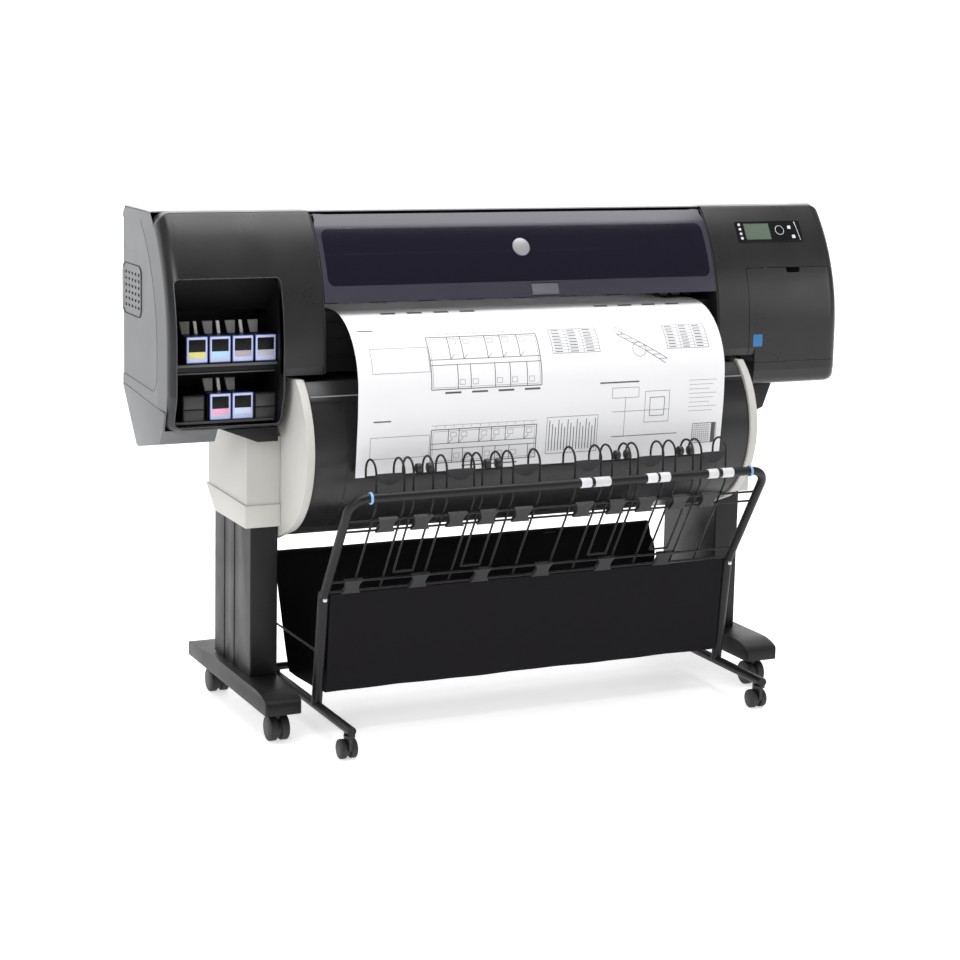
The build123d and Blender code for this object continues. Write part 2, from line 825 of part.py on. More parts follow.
with BuildPart() as cross_beam:
    with BuildSketch(Plane.YZ.offset(-column_inner)):
        with Locations((140, 590)):
            Rectangle(44, 110)
            Rectangle(38, 104, mode=Mode.SUBTRACT)
    extrude(amount=2 * column_inner)
write(cross_beam, "cross_beam")

# Feet: long box sections with a rounded nose, and a bore under each end for a caster stem
foot_middle = 712
foot_width = 97
foot_stem_y = (-155, 278)
stem_radius = 5.5
stem_depth = 24
with BuildPart() as feet:
    with BuildSketch(Plane.YZ.offset(foot_middle - foot_width / 2)):
        with BuildLine():
            Polyline((foot_front, 100), (foot_front, foot_low), (foot_rear, foot_low), (foot_rear, 108))
            Spline((foot_rear, 108), (foot_rear - 60, 122), (180, foot_high), tangents=[(-0.6, 1), (-1, 0)])
            Line((180, foot_high), (-150, foot_high))
            nose = ((-150, foot_high), (foot_front + 26, 122), (foot_front, 100))
            Spline(*nose, tangents=[(-1, 0), (-0.2, -1)])
        make_face()
    extrude(amount=foot_width)
    fillet(feet.edges().filter_by(Axis.Z), 8)
    with BuildSketch(Plane.XY.offset(foot_low)):
        with Locations(*[(foot_middle, y) for y in foot_stem_y]):
            Circle(stem_radius + running_gap)
    extrude(amount=stem_depth + 1, mode=Mode.SUBTRACT)
    # hollow between the two stems
    with BuildSketch(Plane.XY.offset(foot_low + 4)):
        with Locations((foot_middle, 60)):
            Rectangle(foot_width - 10, 380)
    extrude(amount=foot_high - foot_low - 8, mode=Mode.SUBTRACT)
    mirror(about=Plane.YZ)
write(feet, "feet")

# Output bin
bar_front = -410
bar_back = 232
bin_stem_y = -394
bin_stem_depth = 16
rear_cross_y = 130
with BuildPart() as stacker_legs:
    for side in (-1, 1):
        with BuildSketch(Plane.XZ.offset(-bar_back)):
            with Locations((side * bin_half, base_bar_z)):
                Circle(tube_radius)
        extrude(amount=bar_back - bar_front)
        # upright, bored at its top for the upper frame's end
        foot = (side * bin_half, -167, base_bar_z)
        head = (side * bin_half, elbow[0], elbow[1])
        rise = Vector(*head) - Vector(*foot)
        with BuildSketch(Plane(origin=foot, z_dir=rise)):
            Circle(tube_radius + 2)
        extrude(amount=rise.length)
        with BuildSketch(Plane(origin=head, z_dir=rise)):
            Circle(tube_radius)
        extrude(amount=-60, mode=Mode.SUBTRACT)
        # thin brace back to the bag's rear frame
        with BuildSketch(Plane.XZ.offset(-rear_tube[0] + tube_radius)):
            with Locations((side * bin_half, 219)):
                Circle(3)
        extrude(amount=rear_tube[0] + 176)
    with BuildSketch(Plane.YZ.offset(-foot_middle + foot_width / 2)):
        with Locations((rear_cross_y, base_bar_z + 24)):
            Circle(10)
    extrude(amount=2 * (foot_middle - foot_width / 2))
    for side in (-1, 1):
        with BuildSketch(Plane.XY.offset(base_bar_z)):
            with Locations((side * bin_half, rear_cross_y)):
                Circle(9)
        extrude(amount=24)
    with BuildSketch(Plane.XY.offset(base_bar_z - tube_radius - 1)):
        with Locations((-bin_half, bin_stem_y), (bin_half, bin_stem_y)):
            Circle(stem_radius + running_gap)
    extrude(amount=bin_stem_depth + 1, mode=Mode.SUBTRACT)
write(stacker_legs, "stacker_legs")

# Upper frame: a bent tube that leans forward, with four long wires welded across it
lean = math.atan2(elbow[0] - bar_centre[0], bar_centre[1] - elbow[1])
frame_length = math.hypot(bar_centre[0] - elbow[0], bar_centre[1] - elbow[1])
frame_plane = Plane(
    origin=(0, elbow[0], elbow[1]),
    x_dir=(1, 0, 0),
    z_dir=(0, -math.cos(lean), -math.sin(lean)),
)
wire_heights = [22, 56, 232, 266]


def on_frame(distance, behind=0.0):
    """Y and Z of a point that lies up the leaning frame, and behind its plane."""
    y = elbow[0] - distance * math.sin(lean) + behind * math.cos(lean)
    z = elbow[1] + distance * math.cos(lean) + behind * math.sin(lean)
    return (y, z)


with BuildPart() as stacker_top_frame:
    with BuildLine(frame_plane) as hoop:
        FilletPolyline(
            (-bin_half, 12),
            (-bin_half, frame_length),
            (bin_half, frame_length),
            (bin_half, 12),
            radius=48,
        )
    with BuildSketch(Plane(origin=hoop.line @ 0, z_dir=hoop.line % 0)):
        Circle(tube_radius - 0.5)
    sweep(path=hoop.line)
    # the ends turn down into the uprights
    rise = Vector(0, elbow[0] + 167, elbow[1] - base_bar_z).normalized()
    for side in (-1, 1):
        head = Vector(side * bin_half, elbow[0], elbow[1])
        with BuildSketch(Plane(origin=head - rise * 50, z_dir=rise)):
            Circle(tube_radius - 0.5)
        extrude(amount=54)
        with BuildSketch(Plane(origin=head + rise * 1, z_dir=rise)):
            Circle(tube_radius + 1.5)
        extrude(amount=16)
    for distance in wire_heights:
        with BuildSketch(Plane.YZ.offset(-bin_half)):
            with Locations(on_frame(distance)):
                Circle(3)
        extrude(amount=2 * bin_half)
write(stacker_top_frame, "stacker_top_frame")

# Wire guides: pairs of wires that rise behind the bar and arch back to one low wire near the sheet
wide, narrow = 76, 54
half_row = [34, 132, 220, 322, 412]
guide_spans = []
for index, middle in enumerate(half_row):
    span = narrow if index % 2 else wide
    guide_spans.append((middle + 38, span))
    guide_spans.append((-middle - 72, span))
arch_radius = 34
arch_z = 710
arch_drop = 18
leg_y = bar_centre[0] + 28
end_y = leg_y + 2 * arch_radius
low_wire_z = arch_z - arch_drop + 1
with BuildPart() as stacker_guides:
    for middle, span in guide_spans:
        # the narrow pairs are closed by a loop above the lower bar, the wide ones reach down to the bar
        foot_height = wire_heights[1] + 14 if span == narrow else wire_heights[0]
        leg_low = on_frame(foot_height, 3.1 + wire_radius)
        for side in (-1, 1):
            leg_x = middle + side * span / 2
            with BuildLine(Plane.YZ.offset(leg_x)) as leg:
                Polyline(leg_low, (leg_y, 628), (leg_y, arch_z))
            with BuildSketch(Plane(origin=leg.line @ 0, z_dir=leg.line % 0)):
                Circle(wire_radius)
            sweep(path=leg.line, transition=Transition.RIGHT)
            with BuildSketch(Plane.XY.offset(arch_z)):
                with Locations((leg_x, leg_y)):
                    Circle(wire_radius)
            revolve(axis=Axis((leg_x, leg_y + arch_radius, arch_z), (1, 0, 0)), revolution_arc=-180)
            with BuildSketch(Plane.XY.offset(arch_z)):
                with Locations((leg_x, end_y)):
                    Circle(wire_radius)
            extrude(amount=-arch_drop)
        if span == narrow:
            with BuildSketch(Plane.YZ.offset(middle - span / 2 - 1)):
                with Locations(on_frame(foot_height + 1, 3.1 + wire_radius)):
                    Circle(wire_radius + 0.2)
            extrude(amount=span + 2)
    low_wire_left = min(middle - span / 2 for middle, span in guide_spans) - 1
    low_wire_right = max(middle + span / 2 for middle, span in guide_spans) + 1
    with BuildSketch(Plane.YZ.offset(low_wire_left)):
        with Locations((end_y, low_wire_z)):
            Circle(wire_radius + 0.2)
    extrude(amount=low_wire_right - low_wire_left)
write(stacker_guides, "stacker_guides")

# Bag: a fabric trough between the front wire and the rear tube
bag_half = 583
bag_sheet = 3
with BuildPart() as bag_rear_frame:
    with BuildLine(Plane.XZ.offset(-rear_tube[0])) as hoop:
        FilletPolyline(
            (-bin_half, base_bar_z + tube_radius),
            (-bin_half, rear_tube[1]),
            (bin_half, rear_tube[1]),
            (bin_half, base_bar_z + tube_radius),
            radius=85,
        )
    with BuildSketch(Plane(origin=hoop.line @ 0, z_dir=hoop.line % 0)):
        Circle(tube_radius - 1)
    sweep(path=hoop.line)
write(bag_rear_frame, "bag_rear_frame")

with BuildPart() as catch_bag:
    with BuildSketch(Plane.YZ.offset(-bag_half)):
        with BuildLine():
            FilletPolyline(
                (-209, elbow[1] + 12),
                (-186, 112),
                (84, 98),
                (rear_tube[0] - tube_radius - 4, rear_tube[1] - tube_radius - 4),
                radius=22,
            )
            offset(amount=bag_sheet, side=Side.LEFT)
        make_face()
    extrude(amount=2 * bag_half)
write(catch_bag, "catch_bag")

# Printed sheet: from the nip, over the platen, then curling out and hanging down
sheet_thickness = 0.8
with BuildPart() as printed_sheet:
    with BuildSketch(Plane.YZ.offset(-sheet_width / 2)):
        with BuildLine() as sheet_line:
            start = Line((60, 1090.6), (-75, 1090.6))
            curl = JernArc(start @ 1, start % 1, 186, 90)
            hang = Line(curl @ 1, (curl @ 1) + (curl % 1) * 40)
            drape = JernArc(hang @ 1, hang % 1, 600, 5)
            Line(drape @ 1, (drape @ 1) + (drape % 1) * 129)
            sheet_length = sum(edge.length for edge in sheet_line.edges())
            offset(amount=sheet_thickness, side=Side.RIGHT)
        make_face()
    extrude(amount=sheet_width)
print("sheet length", round(sheet_length, 1))
write(printed_sheet, "printed_sheet")


# Casters: a swivelling body between twin wheels on one axle
def caster(name, x, stem_y, stem_top, stem_bottom, radius, wheel_width, trail):
    """Writes one caster's swivelling body and its pair of wheels."""
    axle_radius = 4
    core = 9
    axle_y = stem_y + trail
    with BuildPart() as body:
        # hooded web between the wheels
        with BuildSketch(Plane.YZ.offset(x - core / 2)):
            with Locations((axle_y, radius)):
                Circle(radius - 6)
            with Locations(((stem_y + axle_y) / 2, (radius + stem_bottom) / 2)):
                Rectangle(abs(trail) + 22, stem_bottom - radius)
        extrude(amount=core)
        with BuildSketch(Plane.XY.offset(stem_bottom - 6)):
            with Locations((x, stem_y)):
                Circle(15)
        extrude(amount=5.5)
        with BuildSketch(Plane.XY.offset(stem_bottom - 3)):
            with Locations((x, stem_y)):
                Circle(stem_radius)
        extrude(amount=stem_top - stem_bottom + 3)
        with BuildSketch(Plane.YZ.offset(x - core / 2 - wheel_width)):
            with Locations((axle_y, radius)):
                Circle(axle_radius)
        extrude(amount=core + 2 * wheel_width)
    write(body, f"{name}_caster_body")
    with BuildPart() as wheels:
        for side in (-1, 1):
            face = x + side * (core / 2 + 0.5)
            with BuildSketch(Plane.YZ.offset(face)):
                with Locations((axle_y, radius)):
                    Circle(radius)
                    Circle(axle_radius + running_gap, mode=Mode.SUBTRACT)
            extrude(amount=side * (wheel_width - 1))
        rims = wheels.edges().filter_by(GeomType.CIRCLE).filter_by(lambda e: e.radius > radius - 1)
        fillet(rims, 4)
    write(wheels, f"{name}_caster_wheels")


for side_name, side in (("left", -1), ("right", 1)):
    for end_name, stem_y in zip(("front", "rear"), foot_stem_y):
        caster(
            f"{end_name}_{side_name}",
            side * foot_middle,
            stem_y,
            foot_low + stem_depth,
            foot_low,
            33,
            22,
            -20 if end_name == "front" else 20,
        )
    caster(
        f"bin_{side_name}",
        side * bin_half,
        bin_stem_y,
        base_bar_z - tube_radius + bin_stem_depth - 1,
        base_bar_z - tube_radius,
        25,
        18,
        16,
    )
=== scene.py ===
import math
import bmesh
import bpy
from mathutils import Matrix, Vector


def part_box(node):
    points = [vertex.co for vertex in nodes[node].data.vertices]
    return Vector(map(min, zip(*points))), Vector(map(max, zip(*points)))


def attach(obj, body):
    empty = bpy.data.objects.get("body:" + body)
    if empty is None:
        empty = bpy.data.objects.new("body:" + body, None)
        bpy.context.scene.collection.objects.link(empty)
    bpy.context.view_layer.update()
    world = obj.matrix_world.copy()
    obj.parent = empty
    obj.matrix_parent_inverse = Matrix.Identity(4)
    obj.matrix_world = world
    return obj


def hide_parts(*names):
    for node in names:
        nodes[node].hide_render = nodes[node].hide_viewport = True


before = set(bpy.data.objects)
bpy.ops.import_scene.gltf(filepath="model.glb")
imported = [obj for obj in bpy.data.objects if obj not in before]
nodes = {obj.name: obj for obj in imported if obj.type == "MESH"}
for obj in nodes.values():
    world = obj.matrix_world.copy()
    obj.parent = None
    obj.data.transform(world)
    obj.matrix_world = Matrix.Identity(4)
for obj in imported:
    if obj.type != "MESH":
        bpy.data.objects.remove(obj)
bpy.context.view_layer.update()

# Feet, columns and cross beam. The stand is folded and welded steel sheet under a fine
# black powder coat, which has a slight orange peel and shines a little along its edges.


def coated(name, colour, roughness, grain_size, grain_depth, metallic=0.0, tint=0.12, sheen=0.5):
    """A finish with a fine bumpy grain, and colour and gloss that vary a little over the piece."""
    material = bpy.data.materials.new(name)
    material.use_nodes = True
    tree = material.node_tree
    shader = tree.nodes["Principled BSDF"]
    shader.inputs["Metallic"].default_value = metallic
    shader.inputs["Specular IOR Level"].default_value = sheen
    place = tree.nodes.new("ShaderNodeTexCoord")
    cloud = tree.nodes.new("ShaderNodeTexNoise")
    cloud.inputs["Scale"].default_value = 9
    cloud.inputs["Detail"].default_value = 4
    tree.links.new(place.outputs["Object"], cloud.inputs["Vector"])
    ramp = tree.nodes.new("ShaderNodeValToRGB")
    ramp.color_ramp.elements[0].position = 0.3
    ramp.color_ramp.elements[1].position = 0.7
    ramp.color_ramp.elements[0].color = [c * (1 - tint) for c in colour] + [1]
    ramp.color_ramp.elements[1].color = [c * (1 + tint) for c in colour] + [1]
    tree.links.new(cloud.outputs["Fac"], ramp.inputs["Fac"])
    tree.links.new(ramp.outputs["Color"], shader.inputs["Base Color"])
    gloss = tree.nodes.new("ShaderNodeMapRange")
    gloss.inputs["From Min"].default_value = 0.3
    gloss.inputs["From Max"].default_value = 0.7
    gloss.inputs["To Min"].default_value = roughness - 0.04
    gloss.inputs["To Max"].default_value = roughness + 0.06
    tree.links.new(cloud.outputs["Fac"], gloss.inputs["Value"])
    tree.links.new(gloss.outputs["Result"], shader.inputs["Roughness"])
    grain = tree.nodes.new("ShaderNodeTexNoise")
    grain.inputs["Scale"].default_value = 1 / grain_size
    grain.inputs["Detail"].default_value = 2
    tree.links.new(place.outputs["Object"], grain.inputs["Vector"])
    bump = tree.nodes.new("ShaderNodeBump")
    bump.inputs["Strength"].default_value = 0.35
    bump.inputs["Distance"].default_value = grain_depth
    tree.links.new(grain.outputs["Fac"], bump.inputs["Height"])
    tree.links.new(bump.outputs["Normal"], shader.inputs["Normal"])
    return material


def paint(node, material):
    """Gives a frame node its finish."""
    mesh = nodes[node].data
    mesh.materials.clear()
    mesh.materials.append(material)


def deselect():
    """Leaves nothing selected, so that the next operator acts only on its own piece."""
    if bpy.context.object and bpy.context.object.mode != "OBJECT":
        bpy.ops.object.mode_set(mode="OBJECT")
    bpy.ops.object.select_all(action="DESELECT")


def settle(piece, material, body):
    """Bakes a piece's place into its mesh, gives it its finish and lets it ride on its body."""
    deselect()
    piece.select_set(True)
    bpy.context.view_layer.objects.active = piece
    bpy.ops.object.transform_apply(location=True, rotation=True, scale=True)
    piece.data.materials.clear()
    piece.data.materials.append(material)
    bpy.ops.object.shade_smooth_by_angle(angle=math.radians(35))
    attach(piece, body)
    return piece


def softened(node, width, material, body):
    """A copy of a frame node with its sharp edges rounded, shown in its place."""
    piece = nodes[node].copy()
    piece.data = nodes[node].data.copy()
    piece.name = node + "_rounded"
    piece.parent = None
    piece.matrix_world = Matrix.Identity(4)
    bpy.context.collection.objects.link(piece)
    deselect()
    piece.select_set(True)
    bpy.context.view_layer.objects.active = piece
    bpy.ops.object.mode_set(mode="EDIT")
    bpy.ops.mesh.select_all(action="SELECT")
    bpy.ops.mesh.remove_doubles(threshold=0.00001)
    bpy.ops.mesh.dissolve_limited(angle_limit=math.radians(1))
    bpy.ops.object.mode_set(mode="OBJECT")
    rounding = piece.modifiers.new("rounding", "BEVEL")
    rounding.width = width
    rounding.segments = 3
    rounding.limit_method = "ANGLE"
    rounding.angle_limit = math.radians(40)
    rounding.harden_normals = False
    bpy.ops.object.modifier_apply(modifier=rounding.name)
    settle(piece, material, body)
    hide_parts(node)
    return piece


powder_black = coated("powder_black", (0.007, 0.007, 0.0078), 0.42, 0.0012, 0.0003, sheen=0.3)
for name in ("columns", "feet"):
    softened(name, 0.003, powder_black, "machine")
paint("cross_beam", powder_black)

# Casters. Twin soft wheels turn on one axle each side of a black nylon hood, and a
# pressed cap closes each wheel's outer face. The stem pushes into the foot.
nylon_black = coated("nylon_black", (0.008, 0.008, 0.0088), 0.48, 0.0008, 0.0002)
tread_black = coated("tread_black", (0.014, 0.014, 0.015), 0.62, 0.0006, 0.0003)
for end in ("front_left", "front_right", "rear_left", "rear_right", "bin_left", "bin_right"):
    body = end + "_caster"
    paint(body + "_body", nylon_black)
    paint(body + "_wheels", tread_black)
    low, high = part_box(body + "_wheels")
    middle = (low + high) / 2
    radius = (high.z - low.z) / 2
    caps = []
    for side, x in ((-1, low.x), (1, high.x)):
        deselect()
        bpy.ops.mesh.primitive_cylinder_add(
            vertices=40, radius=radius * 0.7, depth=0.002,
            location=(x, middle.y, middle.z), rotation=(0, math.pi / 2, 0))
        cap = bpy.context.object
        bpy.ops.object.mode_set(mode="EDIT")
        bpy.ops.mesh.inset(thickness=radius * 0.12)
        bpy.ops.object.mode_set(mode="OBJECT")
        rim = cap.modifiers.new("rim", "BEVEL")
        rim.width = 0.0005
        rim.segments = 2
        bpy.ops.object.modifier_apply(modifier=rim.name)
        caps.append(cap)
    deselect()
    for cap in caps:
        cap.select_set(True)
    bpy.context.view_layer.objects.active = caps[0]
    bpy.ops.object.join()
    caps[0].name = body + "_wheel_caps"
    settle(caps[0], nylon_black, body + "_wheels")

# Column caps. Light mouldings in two halves hide the joint between the columns and the
# roll module; they have a fine spark texture and softly rounded corners.
light_moulding = coated("light_moulding", (0.54, 0.532, 0.505), 0.5, 0.0007, 0.00012, tint=0.02)
softened("column_caps", 0.006, light_moulding, "machine")

# Chassis. Steel plates and a box beam carry everything in the body. They are painted
# matt black, so that they don't show round the window.
chassis_black = coated("chassis_black", (0.006, 0.006, 0.0065), 0.6, 0.0012, 0.0002)
paint("chassis", chassis_black)

# Roll module. Light end plates with rounded rims hold two spindles, and a dark curved
# cover with a light seam along its upper drawer closes the front.
charcoal = coated("charcoal", (0.0155, 0.0155, 0.0165), 0.3, 0.0009, 0.00005, tint=0.06, sheen=0.42)
softened("roll_module_ends", 0.007, light_moulding, "machine")
paint("roll_cover", charcoal)


def striped_roll(name, half_width):
    """Paper inside the roll's width, and dark moulded hubs and a steel spindle outside it."""
    material = coated(name, (0.82, 0.82, 0.8), 0.75, 0.002, 0.0001, tint=0.02)
    tree = material.node_tree
    shader = tree.nodes["Principled BSDF"]
    place = tree.nodes.new("ShaderNodeTexCoord")
    split = tree.nodes.new("ShaderNodeSeparateXYZ")
    tree.links.new(place.outputs["Object"], split.inputs["Vector"])
    across = tree.nodes.new("ShaderNodeMath")
    across.operation = "ABSOLUTE"
    tree.links.new(split.outputs["X"], across.inputs[0])
    outside = tree.nodes.new("ShaderNodeMath")
    outside.operation = "GREATER_THAN"
    outside.inputs[1].default_value = half_width
    tree.links.new(across.outputs["Value"], outside.inputs[0])
    mix = tree.nodes.new("ShaderNodeMix")
    mix.data_type = "RGBA"
    paper = shader.inputs["Base Color"].links[0].from_socket
    tree.links.new(outside.outputs["Value"], mix.inputs["Factor"])
    tree.links.new(paper, mix.inputs["A"])
    mix.inputs["B"].default_value = (0.03, 0.05, 0.09, 1)
    tree.links.new(mix.outputs["Result"], shader.inputs["Base Color"])
    return material


for name in ("upper", "lower"):
    paint(name + "_roll_spindle", striped_roll(name + "_roll", 0.5336))

low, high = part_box("roll_cover")
seam_z = high.z - 0.031
deselect()
bpy.ops.mesh.primitive_cube_add(size=1, location=(0, low.y + 0.0375, seam_z))
seam = bpy.context.object
bpy.ops.transform.resize(value=(high.x - low.x - 0.004, 0.006, 0.0022))
seam.name = "drawer_seam"
seam_grey = coated("seam_grey", (0.3, 0.3, 0.31), 0.3, 0.001, 0.00005)
settle(seam, seam_grey, "machine")

# the drawer's two side joints show as fine dark lines down the curve of the cover
for side in (-1, 1):
    joint_x = side * 0.548
    joint = nodes["roll_cover"].copy()
    joint.data = nodes["roll_cover"].data.copy()
    joint.name = "drawer_joint_left" if side < 0 else "drawer_joint_right"
    joint.parent = None
    joint.matrix_world = Matrix.Identity(4)
    bpy.context.collection.objects.link(joint)
    deselect()
    joint.select_set(True)
    bpy.context.view_layer.objects.active = joint
    bpy.ops.object.mode_set(mode="EDIT")
    for plane_co, plane_no in (
        ((joint_x - 0.001, 0, 0), (-1, 0, 0)),
        ((joint_x + 0.001, 0, 0), (1, 0, 0)),
        ((0, -0.1, 0), (0, 1, 0)),
        ((0, 0, seam_z - 0.003), (0, 0, 1)),
    ):
        bpy.ops.mesh.select_all(action="SELECT")
        bpy.ops.mesh.remove_doubles(threshold=0.00001)
        bpy.ops.mesh.bisect(plane_co=plane_co, plane_no=plane_no, use_fill=True, clear_outer=True)
    bpy.ops.mesh.select_all(action="SELECT")
    bpy.ops.mesh.remove_doubles(threshold=0.00001)
    bpy.ops.transform.shrink_fatten(value=0.0005)
    bpy.ops.object.mode_set(mode="OBJECT")
    settle(joint, chassis_black, "machine")

# Housings, service door, skirts, tray and covers. They are injection moulded, charcoal at
# the front and mid grey at the ends, with a thin silvery strip along the top.
end_grey = coated("end_grey", (0.135, 0.138, 0.143), 0.4, 0.0009, 0.00008, tint=0.04)
silver_strip = coated("silver_strip", (0.43, 0.43, 0.44), 0.42, 0.0009, 0.00005, tint=0.03)
black_moulding = coated("black_moulding", (0.0055, 0.0055, 0.006), 0.42, 0.0009, 0.00012, sheen=0.3)
paint("left_housing", charcoal)
paint("right_housing", charcoal)
paint("service_door", charcoal)
paint("left_end_cover", end_grey)
paint("right_end_cover", end_grey)
paint("top_cover", silver_strip)
paint("rear_cover", charcoal)
softened("left_base_tray", 0.004, end_grey, "machine")
softened("body_skirts", 0.003, black_moulding, "machine")

# Bay rim. The housing's skin turns inwards round the ink bay with a small bright radius; a thin tube in a
# lighter grey than the housing lies along it, a painted highlight on that rounded edge.
face_centre_y, face_radius = 0.377, 0.524
bay_left, bay_right, bay_floor, bay_roof, bay_corner = -0.965, -0.688, 0.812, 1.182, 0.014


def skin_y(x, z):
    """Y of the left housing's skin, on its curved front and round its outer corner."""
    front = face_centre_y - math.sqrt(face_radius**2 - max(z - 1.0, 0) ** 2) + max(0.89 - z, 0) * 0.341
    past = max(-0.941 - x, 0)
    return front + 0.04 - math.sqrt(0.04**2 - min(past, 0.04) ** 2)


rim_points = []
for centre_x, centre_z, first in (
    (bay_right - bay_corner, bay_floor + bay_corner, -90),
    (bay_right - bay_corner, bay_roof - bay_corner, 0),
    (bay_left + bay_corner, bay_roof - bay_corner, 90),
    (bay_left + bay_corner, bay_floor + bay_corner, 180),
):
    for step in range(7):
        angle = math.radians(first + 15 * step)
        x = centre_x + bay_corner * math.cos(angle)
        z = centre_z + bay_corner * math.sin(angle)
        rim_points.append((x, z))
rim_route = []
for index, (x, z) in enumerate(rim_points):
    next_x, next_z = rim_points[(index + 1) % len(rim_points)]
    pieces = max(1, int(math.hypot(next_x - x, next_z - z) / 0.02))
    for step in range(pieces):
        share = step / pieces
        route_x, route_z = x + (next_x - x) * share, z + (next_z - z) * share
        rim_route.append((route_x, skin_y(route_x, route_z) + 0.0005, route_z))
deselect()
bpy.ops.curve.primitive_bezier_circle_add()
bay_rim = bpy.context.object
bay_rim.data.splines.clear()
rim_line = bay_rim.data.splines.new("POLY")
rim_line.points.add(len(rim_route) - 1)
for point, place in zip(rim_line.points, rim_route):
    point.co = (*place, 1)
rim_line.use_cyclic_u = True
bay_rim.data.bevel_depth = 0.0012
bay_rim.data.bevel_resolution = 2
bpy.ops.object.convert(target="MESH")
bay_rim.name = "bay_rim"
# lighter than the charcoal housing: a painted highlight along the bay opening's edge
painted_rim_highlight = coated("painted_rim_highlight", (0.045, 0.045, 0.048), 0.3, 0.0009, 0.00004)
settle(bay_rim, painted_rim_highlight, "machine")

# Cover lines. A fine dark joint outlines the left cover's vent panel, and a soft darker grey line runs down
# behind its bevelled edge and turns in a rounded corner at the bottom: painted shade along the edge of the
# cover's shallow recess.
low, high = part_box("left_end_cover")
# darker than the end grey: painted shade along the cover's recess edge
recess_shade_grey = coated("recess_shade_grey", (0.08, 0.082, 0.085), 0.5, 0.0009, 0.00008)
vent_line = []
for centre_y, centre_z, first in (
    (0.233, 1.171, 0), (0.117, 1.171, 90), (0.117, 1.085, 180), (0.233, 1.085, 270),
):
    for step in range(7):
        angle = math.radians(first + 15 * step)
        y = centre_y + 0.0225 * math.cos(angle)
        z = centre_z + 0.0225 * math.sin(angle)
        vent_line.append((low.x + 0.0006, y, z))
recess_shade_line = []
for step in range(15):
    z = 1.315 - 0.315 * step / 14
    y = face_centre_y - math.sqrt((face_radius - 0.103) ** 2 - (z - 1.0) ** 2)
    recess_shade_line.append((low.x + 0.0002, y, z))
recess_shade_line.append((low.x + 0.0002, -0.044, 0.945))
for step in range(1, 8):
    angle = math.radians(180 + 12 * step)
    recess_shade_line.append((low.x + 0.0002, 0.001 + 0.045 * math.cos(angle), 0.935 + 0.045 * math.sin(angle)))
for name, route, closed, width, finish in (
    ("vent_joint", vent_line, True, 0.0012, chassis_black),
    ("painted_recess_shade", recess_shade_line, False, 0.001, recess_shade_grey),
):
    deselect()
    bpy.ops.curve.primitive_bezier_circle_add()
    groove = bpy.context.object
    groove.data.splines.clear()
    groove_line = groove.data.splines.new("POLY")
    groove_line.points.add(len(route) - 1)
    for point, place in zip(groove_line.points, route):
        point.co = (*place, 1)
    groove_line.use_cyclic_u = closed
    groove.data.bevel_depth = width
    groove.data.bevel_resolution = 2
    groove.data.use_fill_caps = True
    bpy.ops.object.convert(target="MESH")
    groove.name = name
    settle(groove, finish, "machine")

# Window. One curved sheet of smoke tinted plastic, with a lighter border printed on its
# inside round a darker viewing pane.


